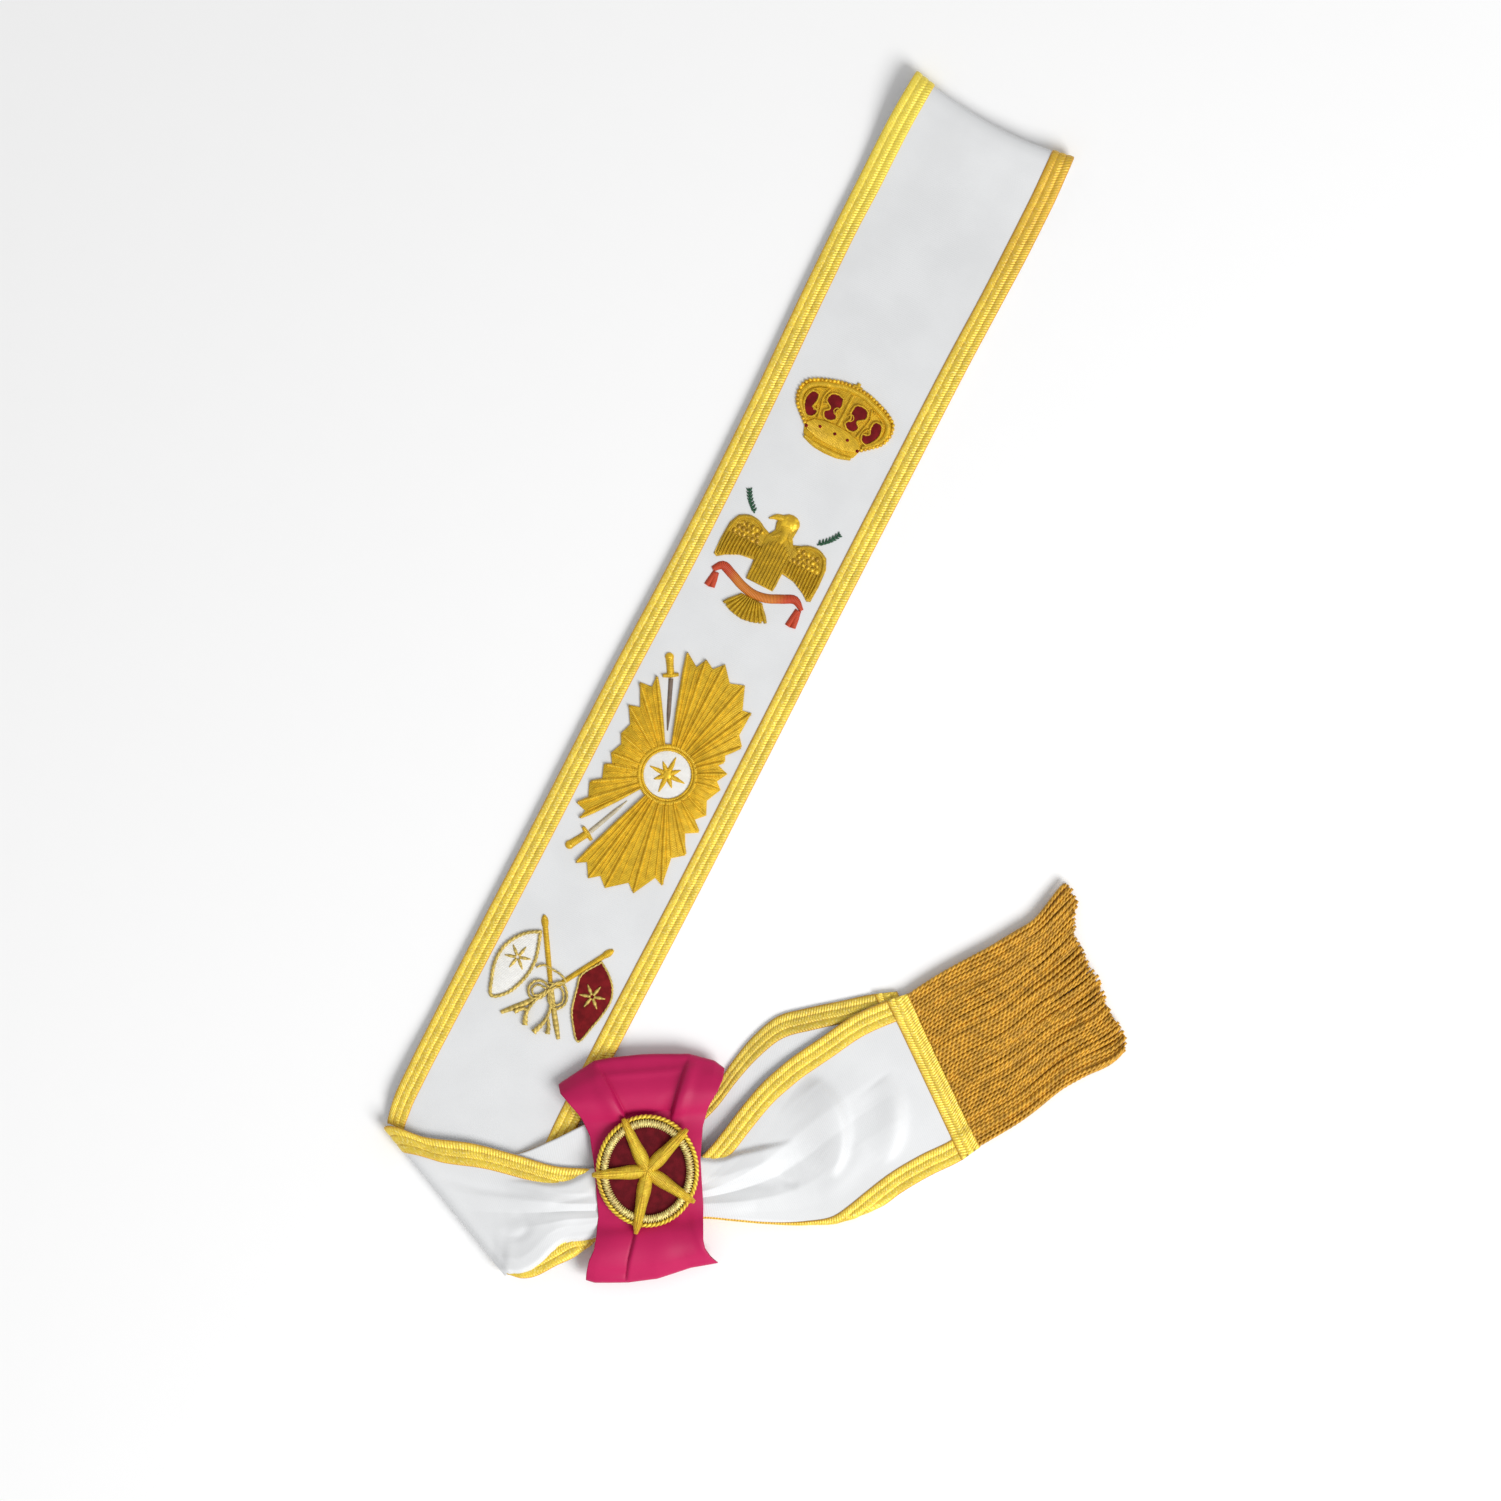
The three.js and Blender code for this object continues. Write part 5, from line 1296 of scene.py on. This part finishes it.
class SASH_OT_badge(bpy.types.Operator):
    """Makes the round badge: velvet, bullion coil, twisted cord and star"""
    bl_idname = "sash.badge"
    bl_label = "Badge"

    def execute(self, context):
        settings = context.scene.sash_badge
        trim = context.scene.sash_trim
        dark = context.scene.sash_stitching.dark_gold

        piece = Piece()
        made = bmesh.ops.create_circle(piece.bm, cap_ends=True, segments=64, radius=1.0)
        piece.raise_face(made["verts"][0].link_faces[0], VELVET_SIDE, VELVET_ROUNDING)
        scale = Matrix.Diagonal((*(axis * VELVET_SHARE for axis in BADGE_SEMI_AXES), 1.0, 1.0))
        placed = Matrix.Translation((BADGE_CENTRE[0], BADGE_CENTRE[1], BADGE_BASE_Z))
        bmesh.ops.transform(
            piece.bm, matrix=placed @ Matrix.Rotation(BADGE_TURN, 4, "Z") @ scale, verts=piece.bm.verts,
        )
        piece.finish("badge_velvet", velvet(settings.velvet_color), "velvet", ["badge_plate"])

        piece = Piece()
        count = settings.coil_turns * COIL_SIDES
        middle = oval_line(-COIL_INSET, COIL_Z, count)
        outward = unit(oval_line(0, COIL_Z, count) - middle)
        angle = np.arange(count) / COIL_SIDES * 2 * math.pi
        line = middle + outward * (COIL_HALF_WIDTH * np.cos(angle))[:, None]
        line[:, 2] += COIL_HALF_HEIGHT * np.sin(angle)
        piece.rope(line, COIL_WIRE, UNTWISTED, 1, 6, None, 0.0, closed=True)
        core = oval_line(-COIL_INSET, COIL_Z, 90)
        piece.rope(core, COIL_CORE, UNTWISTED, 1, 10, None, 0.0, closed=True)
        coil = twisted_thread("badge_bullion", settings.coil_color, dark, 0.3, 0.0042)
        piece.finish("badge_coil", coil, "bullion", ["badge_ring"])

        piece = Piece()
        round_coil = oval_line(-CORD_INSET, CORD_Z, 260)
        piece.rope(round_coil, CORD_RADIUS, 2.6, 2, 10, None, 0.18, closed=True)
        cord = twisted_thread("badge_cord", settings.star_color, trim.fringe_shadow, 0.3, 0.0026)
        piece.finish("badge_rope", cord, "cord", ["badge_cord"])

        piece = Piece()
        for x, y in STAR_TIPS:
            centre = BADGE_CENTRE[:2]
            tip = centre + np.array([x, y])
            line = [centre, centre + (tip - centre) * 0.5, tip]
            piece.strip(line, STAR_WIDTHS, 2.6, STAR_BASE, 1.2, 2.0, 0.6)
            side = unit(np.array([-y, x]))
            for shift in STAR_RIDGES:
                middle = tip * 0.6 + centre * 0.4 + side * shift
                ridge = [centre - side * shift, middle, tip + side * shift * 0.3]
                height = 3.0 - 0.25 * abs(shift)
                piece.strip(ridge, STAR_RIDGE_WIDTHS, height, STAR_BASE, 1.2, 2.0, 0.2)
        star = satin_stitch("badge_star_thread", settings.star_color, dark, 0.0008, 0.3, 0.4)
        piece.finish("badge_arms", star, "star", ["badge_star"])
        return {"FINISHED"}


class SASH_OT_crown(bpy.types.Operator):
    """Embroiders the crown"""
    bl_idname = "sash.crown"
    bl_label = "Crown"

    def execute(self, context):
        settings = context.scene.sash_stitching
        piece = Piece()
        lobes = [
            outline for lobe in (CROWN_INNER_LOBE, CROWN_OUTER_LOBE) for outline in (lobe, flipped(lobe))
        ]
        for outline in lobes:
            piece.pad(outline, 0.9, STITCH_Z + 0.5, 0.5)
        for place in CROWN_JEWELS:
            piece.dome(place, (1.0, 1.0), 0.9, STITCH_Z + 1.2)
        nodes = [f"crown_velvet_{place}_{side}" for place in ("inner", "outer") for side in ("left", "right")]
        piece.finish("crown_velvet", velvet(settings.maroon, "crown_velvet"), "velvet", nodes)

        piece = Piece()
        piece.pad(mirrored(CROWN_HALF), 0.6, STITCH_Z, 0.4)
        piece.pad(mirrored(CROWN_BAND_HALF), 1.5, STITCH_Z, 0.7, math.pi / 2)
        piece.strip(CROWN_FOOT, [1.2, 1.9, 2, 1.9, 1.2], 1.8)
        arch = sided(-1, CROWN_ARCH_HALF[:-1]) + CROWN_ARCH_HALF[::-1]
        piece.strip(arch, [1.6, 2.3, 2.3, 2.3, 2.3, 2.3, 1.6], 1.9)
        half = np.array(CROWN_HALF[4:])
        rim = np.concatenate([half * (-1, 1), half[-2::-1]])
        rim = smooth_line(rim, 2.0)
        for point in at_share(rim, np.linspace(0, 1, round(run_length(rim)[-1] / BEAD_SPACING) + 1)):
            piece.dome(point, (BEAD_RADIUS, BEAD_RADIUS), 1.9, STITCH_Z)
        for outline in lobes:
            piece.rope([(x, y, STITCH_Z + 1.3) for x, y in outline], 0.6, 2.4, 2, 6, 0.7, 0.2, 1.0, True)
        piece.strip([(0, 493), (0, 500), (0, 512)], [1.8, 1.1, 1.6], 1.8)
        for side in (-1, 1):
            for line, widths in CROWN_RIBS:
                piece.strip(sided(side, line), widths, 1.7, STITCH_Z, 0.8)
        piece.strip([(0, 515.4), (0, 520)], [1.5, 1.2], 1.3)
        piece.strip([(-3, 517.6), (3, 517.6)], [0.9, 1.3, 0.9], 1.4)
        gold = satin_stitch("crown_gold", settings.gold, settings.dark_gold)
        piece.finish("crown_gold", gold, "gold_thread", ["crown_frame"])
        return {"FINISHED"}


def away_from_middle(finish, low, high):
    """1 far from the middle line of the front half and 0 near it"""
    x = finish.axis(finish.where("Object"), "X") - float(ORIGIN.x)
    return x.absolute().smooth(low, high)


class SASH_OT_bird(bpy.types.Operator):
    """Embroiders the spread bird, its ribbon and its sprigs"""
    bl_idname = "sash.bird"
    bl_label = "Bird"

    def execute(self, context):
        settings = context.scene.sash_stitching
        relief = settings.relief / MM
        colors = (shade(settings.gold, 0.86), shade(settings.dark_gold, 0.6))
        gold = satin_stitch("bird_gold", *colors, contrast=0.7)
        piece = Piece()
        piece.pad(BIRD_TORSO, 1.0, STITCH_Z, 0.8)
        for index in range(BREAST_COLUMNS):
            x = BREAST_FIRST_X + index * BREAST_SPACING
            top = 419 - 0.08 * (x - 0.8) ** 2
            for low, high in ((392.6, 401.5), (400.6, 410.4), (409.4, top)):
                feather = [(x, high), (x * 1.01, (low + high) / 2), (x, low)]
                piece.strip(feather, [0.5, 1.0, 1.05, 0.7], relief)
        piece.strip([(-5.6, 419.6), (-1, 424), (0.6, 428)], [1.0, 2.4, 2.6], relief * 0.9)
        piece.strip([(7, 419.6), (3.4, 424), (1.2, 428)], [1.0, 2.2, 2.6], relief * 0.9)
        for side in (-1, 1):
            wing = sided(side, BIRD_WING, BIRD_MIDDLE)[::-side]
            piece.pad(wing, 0.7, STITCH_Z, 0.6, math.pi / 2)
        for side in (-1, 1):
            piece.strip(sided(side, WING_RIM, BIRD_MIDDLE), [1.0, 1.3, 1.3, 1.3, 1.0, 0.8], relief)
            for index in range(QUILLS):
                x = QUILL_FIRST_X + index * QUILL_SPACING
                bottom = on_table(QUILL_ENDS, x)
                quill = [(x, QUILL_TOP_Y), (x + 0.3, bottom + 3), (x + 0.3, bottom)]
                piece.strip(sided(side, quill, BIRD_MIDDLE), [0.8, 0.95, 0.5], relief)
            for row in range(SCALE_ROWS):
                for index in range(SCALE_COLUMNS - row % 2):
                    x = SCALE_FIRST[0] + index * SCALE_SPACING[0] + (row % 2) * SCALE_SPACING[0] / 2
                    y = SCALE_FIRST[1] + row * SCALE_SPACING[1]
                    if y < on_table(SCALE_LIMIT, x):
                        place = sided(side, [(x, y)], BIRD_MIDDLE)[0]
                        piece.dome(place, (1.5, 1.9), relief * 0.9, STITCH_Z)
        for index in range(TAIL_FEATHERS):
            share = (index - TAIL_FEATHERS // 2) / (TAIL_FEATHERS // 2)
            start = (0.5 + share * 5.6, 383)
            end = (0.5 + share * 13.4, 370.2 + 3.8 * abs(share) ** 2)
            piece.strip([start, end], [0.7, 1.1, 1.35, 0.9], relief)
        piece.pad(BIRD_TAIL, 0.6)
        nodes = ["bird_body", "bird_wing_left", "bird_wing_right", "bird_tail"]
        piece.finish("bird_gold", gold, "gold_thread", nodes)

        piece = Piece()
        piece.dome((0.6, 431.0), (6.0, 5.2), relief + 0.5, STITCH_Z)
        piece.strip([(0.6, 431), (0.8, 425), (0.6, 418)], [4.4, 4.6, 3.4, 1.6], relief + 0.2)
        piece.strip([(-3.4, 431.8), (-7.8, 431.0), (-11.4, 428.4)], [2.4, 1.8, 0.4], relief)
        bright = satin_stitch("bird_head_gold", settings.gold, settings.dark_gold, contrast=0.35)
        piece.finish("bird_head", bright, "gold_thread", [])

        piece = Piece()
        piece.strip(BANNER_LINE, [1.6, 2.8, 2.7, 2.7, 2.7, 2.7, 2.7, 2.6, 1.2], 1.2)
        for side, x, top in ((-1, -24.4, 387.4), (1, 27.2, 389)):
            piece.strip([(x, top), (x - 1.6, 378.4)], [2.0, 1.9, 1.7], 1.1)
            piece.strip([(x, top), (x + 1.8, 378.6)], [1.8, 1.9, 1.6], 1.0)
        banner = Finish("bird_banner", Roughness=0.5)
        aside = away_from_middle(banner, 0.010, 0.020)
        threads = (banner.axis(banner.where("UV"), "Y") * (2 * math.pi / 0.0008)).sine()
        warm = banner.mix(aside, settings.orange, settings.red)
        tint = banner.mix((1 - threads.smooth(-1.0, 0.0)) * 0.45, warm, shade(settings.red, 0.5))
        banner.surface(Base_Color=tint, Normal=banner.bump(threads, 0.00016, 0.8))
        piece.finish("bird_banner", banner.material, "red_thread", ["bird_ribbon"])

        leaf = satin_stitch("sprig_thread", settings.green, shade(settings.green, 0.4), 0.0006, 0.0)
        stem = smooth_line(SPRIG_STEM, 1.0)
        for side, name, node in (
            (-1, "sprig_thread_left", "sprig_left"), (1, "sprig_thread_right", "sprig_right"),
        ):
            piece = Piece()
            piece.strip(sided(side, stem[::3]), [0.5, 0.5, 0.3], 0.8)
            for index in range(1, len(stem) - 2, 2):
                x, y = stem[index]
                for dx, dy in ((2.4, 1.0), (-0.4, 2.7)):
                    needle = sided(side, [(x, y), (x + dx, y + dy)])
                    piece.strip(needle, [0.4, 0.7, 0.2], 0.8, step=0.7)
            piece.finish(name, leaf, "green_thread", [node])
        return {"FINISHED"}


def ring_line(radius, z, count):
    """Points on a circle about the glory's middle"""
    return np.array([
        (GLORY_CENTRE[0] + radius * math.cos(angle), GLORY_CENTRE[1] + radius * math.sin(angle), z)
        for angle in np.arange(count) / count * 2 * math.pi
    ])


def star_rays(piece, centre, start, reaches, count, turn, widths, base):
    """Rays of a small stitched star, whose reaches are taken in turn"""
    centre = np.array(centre)
    for index in range(count):
        angle = index / count * 2 * math.pi + turn
        ray = np.array([math.cos(angle), math.sin(angle)])
        reach = reaches[index % len(reaches)]
        piece.strip([centre + ray * start, centre + ray * reach], widths, 0.9, base)


def glory_rays(piece, relief):
    """Ridged rays on a padded ground: a strong ridge to each tip, fine ones to the notches and between"""
    centre = np.array(GLORY_CENTRE)
    start = GLORY_RING_RADIUS - 0.6
    for part in GLORY_PARTS:
        ends = np.array(part)
        rays = unit(ends - centre)
        piece.pad([tuple(centre + ray * (start - 1)) for ray in rays[::-1]] + part, 1.2, STITCH_Z, 0.4)
        for index, (ray, end) in enumerate(zip(rays, ends)):
            strong = index % 2 == 0
            half = 1.35 if strong else 0.75
            reach = np.linalg.norm(end - centre) - (0.8 if strong else 1.2)
            line = [centre + ray * start, centre + ray * (start + reach) / 2, centre + ray * reach]
            widths = [half * 0.5, half * 0.75, half, half, half, half * 0.6]
            piece.strip(line, widths, relief * (0.85 if strong else 0.5), STITCH_Z + 0.9, 2.0, 1.7)
        for first, second in zip(ends[:-1], ends[1:]):
            if np.linalg.norm(second - first) > 7:
                end = centre + ((first + second) / 2 - centre) * 0.95
                line = [centre + unit(end - centre) * (start + 4), end]
                piece.strip(line, [0.3, 0.5, 0.6, 0.6, 0.3], relief * 0.4, STITCH_Z + 0.9, 2.0, 1.7)


class SASH_OT_glory(bpy.types.Operator):
    """Embroiders the glory of rays with its ring, star and daggers"""
    bl_idname = "sash.glory"
    bl_label = "Glory"

    def execute(self, context):
        settings = context.scene.sash_stitching
        relief = settings.relief / MM
        gold = satin_stitch("glory_gold", settings.gold, settings.dark_gold, 0.0009, 0.3, 0.4)

        piece = Piece()
        glory_rays(piece, relief)
        piece.finish("glory_rays_gold", gold, "gold_thread", ["glory_rays"])

        piece = Piece()
        circle, radius, rise = RING_BAND
        piece.rope(ring_line(circle, STITCH_Z + rise, 80), radius, UNTWISTED, 1, 10, None, 0.0, 0.8, True)
        circle, radius, rise = RING_CORD
        piece.rope(ring_line(circle, STITCH_Z + rise, 150), radius, 2.0, 2, 8, None, 0.2, 0.9, True)
        piece.finish("glory_ring_gold", gold, "gold_thread", ["glory_ring"])

        piece = Piece()
        piece.pad([tuple(point[:2]) for point in ring_line(GLORY_DISC_RADIUS, 0, 40)], 0.5)
        colors = (settings.white, shade(settings.white, 0.8))
        white = satin_stitch("glory_white", *colors, 0.0007, 0.0, 0.15, 0.01)
        piece.finish("glory_white", white, "white_thread", ["glory_disc"])

        piece = Piece()
        star_rays(piece, GLORY_CENTRE, 1.5, (11, 8), 8, 0.0, [1.6, 1.3, 0.3], STITCH_Z + 0.5)
        piece.dome(GLORY_CENTRE, (3.0, 3.0), 1.3, STITCH_Z + 0.5)
        piece.finish("glory_star_gold", gold, "gold_thread", ["glory_star"])

        steel = satin_stitch("blade_thread", settings.grey, shade(settings.grey, 0.5), 0.0006, 0.2)
        pale = satin_stitch("blade_pale_thread", srgb(214, 206, 186), settings.pale_gold, 0.0006, 0.1)
        for name, dagger, blade_finish in (("upper", DAGGERS[0], steel), ("lower", DAGGERS[1], pale)):
            grip, guard, point = (np.array(dagger[key]) for key in ("grip", "guard", "point"))
            along = unit(guard - grip)
            side = np.array([-along[1], along[0]])
            piece = Piece()
            piece.strip([grip, guard], [2.4, 2.1, 2.2], 1.8)
            piece.dome(grip, (2.6, 2.6), 1.9)
            cross = guard - along * 1.0
            piece.strip([cross - side * 4.6, cross, cross + side * 4.6], [1.0, 1.6, 1.0], 1.9)
            piece.finish(f"dagger_gold_{name}", gold, "gold_thread", [f"dagger_{name}_hilt"])
            piece = Piece()
            piece.strip([guard + along * 1.0, point], [1.4, 1.3, 1.2, 0.3], 1.0)
            piece.finish(f"dagger_steel_{name}", blade_finish, "grey_thread", [f"dagger_{name}_blade"])
        return {"FINISHED"}


def inset_outline(outline, by):
    """An outline moved towards its middle"""
    outline = np.array(outline, dtype=float)
    offset = outline - outline.mean(axis=0)
    return outline - unit(offset) * by


class SASH_OT_flags(bpy.types.Operator):
    """Embroiders the crossed flags, their poles and the bow of cord that ties them"""
    bl_idname = "sash.flags"
    bl_label = "Flags"

    def execute(self, context):
        settings = context.scene.sash_stitching
        gold = satin_stitch("flag_gold", settings.gold, settings.dark_gold, 0.0008)
        pale = twisted_thread("flag_cord", settings.pale_gold, shade(settings.pale_gold, 0.5), 0.2)

        piece = Piece()
        piece.pad(FLAG_LIGHT, 0.5, STITCH_Z, 0.5)
        colors = (settings.white, shade(settings.white, 0.85))
        white = satin_stitch("flag_white", *colors, 0.0008, 0.0, 0.15, 0.01)
        piece.finish("flag_light_field", white, "white_thread", ["flag_light"])
        piece = Piece()
        piece.pad(FLAG_DARK, 0.9, STITCH_Z, 0.5)
        piece.finish("flag_dark_field", velvet(settings.maroon, "flag_velvet"), "velvet", ["flag_dark"])

        piece = Piece()
        light = inset_outline(FLAG_LIGHT, 0.8)
        piece.rope(np.column_stack([light, np.full(len(light), 4.9)]), 0.95, 2.4, 2, 8, 0.7, 0.2, 0.9, True)
        dark = inset_outline(FLAG_DARK, 0.4)
        piece.rope(np.column_stack([dark, np.full(len(dark), 4.8)]), 0.6, 2.4, 2, 8, 0.7, 0.2, 0.9, True)
        for centre, z in FLAG_STARS:
            star_rays(piece, centre, 1.0, (7.5,), 6, 0.3, [0.8, 1.0, 0.3], z)
        for line, radii in FLAG_CORDS:
            piece.rope([(x, y, 5.3) for x, y in line], radii, 2.4, 2, 8, 0.7, 0.2)
        for low_end in FLAG_POLE_ENDS:
            piece.strip(low_end, [1.2, 1.4, 1.6, 1.7, 1.1], 1.6, STITCH_Z)
        piece.finish("flag_cords", pale, "gold_thread", ["flag_bow"])

        for name, start, end, node in FLAG_POLES:
            piece = Piece()
            start, end = np.array(start), np.array(end)
            low = end + unit(end - start) * 9
            piece.strip([start + unit(end - start) * 5, end, low], [1.6, 1.6, 1.6, 1.5, 1.3], 1.6)
            piece.strip([start, start + unit(end - start) * 7], [0.7, 2.1, 2.2, 1.5], 1.6)
            piece.finish(f"pole_gold_{name}", gold, "gold_thread", [node])
        return {"FINISHED"}


class SASH_OT_stage(bpy.types.Operator):
    """Sets the floor, the soft light and the camera"""
    bl_idname = "sash.stage"
    bl_label = "Stage"

    def execute(self, context):
        settings = context.scene.sash_stage
        bm = bmesh.new()
        bmesh.ops.create_grid(bm, x_segments=1, y_segments=1, size=FLOOR_HALF)
        bmesh.ops.translate(bm, verts=bm.verts, vec=(0, 0, -FLOOR_DROP))
        mesh = bpy.data.meshes.new("floor")
        bm.to_mesh(mesh)
        bm.free()
        floor = bpy.data.objects.new("floor", mesh)
        context.scene.collection.objects.link(floor)
        paper = Finish("floor_paper", Roughness=0.9)
        grain = paper.noise(paper.where("Object"), 0.02, 2.0)
        tint = paper.mix(grain, shade(settings.floor_color, 0.99), settings.floor_color)
        mesh.materials.append(paper.surface(Base_Color=tint))

        context.scene.view_settings.view_transform = "Standard"
        world = bpy.data.worlds.new("even_light")
        context.scene.world = world
        world.use_nodes = True
        background = world.node_tree.nodes["Background"]
        background.inputs["Color"].default_value = (1.0, 1.0, 1.0, 1.0)
        background.inputs["Strength"].default_value = settings.sky

        key = bpy.data.lights.new("key", "AREA")
        key.shape = "DISK"
        key.size = KEY_SIZE
        key.energy = settings.key_power
        light = bpy.data.objects.new("key", key)
        light.location = KEY_PLACE
        light.rotation_euler = (-light.location).to_track_quat("-Z", "Y").to_euler()
        context.scene.collection.objects.link(light)

        lens = bpy.data.cameras.new("camera")
        lens.lens = CAMERA_LENS
        lens.sensor_width = CAMERA_SENSOR
        lens.clip_end = CAMERA_CLIP_END
        camera = bpy.data.objects.new("camera", lens)
        camera.location = Vector((CAMERA_AIM[0] * MM, CAMERA_AIM[1] * MM, CAMERA_HEIGHT * MM)) + ORIGIN
        camera.rotation_euler = (0.0, 0.0, CAMERA_TURN)
        context.scene.collection.objects.link(camera)
        context.scene.camera = camera
        return {"FINISHED"}


class SASH_PT_panel(bpy.types.Panel):
    """Lists the pieces of the sash"""
    bl_idname = "SASH_PT_panel"
    bl_label = "Sash"
    bl_space_type = "VIEW_3D"
    bl_region_type = "UI"
    bl_category = "Sash"

    def draw(self, context):
        for group, operators in PANEL_ROWS:
            box = self.layout.box()
            settings = getattr(context.scene, group)
            for name in type(settings).__annotations__:
                box.prop(settings, name)
            for operator in operators:
                box.operator(operator.bl_idname)


GROUPS = (
    ("sash_cloth", SashCloth), ("sash_trim", SashTrim), ("sash_bow", SashBow), ("sash_badge", SashBadge),
    ("sash_stitching", SashStitching), ("sash_stage", SashStage),
)
PANEL_ROWS = (
    ("sash_cloth", (SASH_OT_ribbon,)),
    ("sash_trim", (SASH_OT_braid, SASH_OT_fringe)),
    ("sash_bow", (SASH_OT_bow,)),
    ("sash_badge", (SASH_OT_badge,)),
    ("sash_stitching", (SASH_OT_crown, SASH_OT_bird, SASH_OT_glory, SASH_OT_flags)),
    ("sash_stage", (SASH_OT_stage,)),
)
CLASSES = [group for _, group in GROUPS] + [item for _, row in PANEL_ROWS for item in row] + [SASH_PT_panel]


def register():
    for item in CLASSES:
        bpy.utils.register_class(item)
    for name, group in GROUPS:
        setattr(bpy.types.Scene, name, PointerProperty(type=group))


def unregister():
    for name, _ in GROUPS:
        delattr(bpy.types.Scene, name)
    for item in reversed(CLASSES):
        bpy.utils.unregister_class(item)


def main():
    register()
    bpy.ops.sash.stage()
    bpy.ops.sash.ribbon()
    bpy.ops.sash.braid()
    bpy.ops.sash.fringe()
    bpy.ops.sash.bow()
    bpy.ops.sash.badge()
    bpy.ops.sash.crown()
    bpy.ops.sash.bird()
    bpy.ops.sash.glory()
    bpy.ops.sash.flags()


if __name__ == "__main__":
    main()
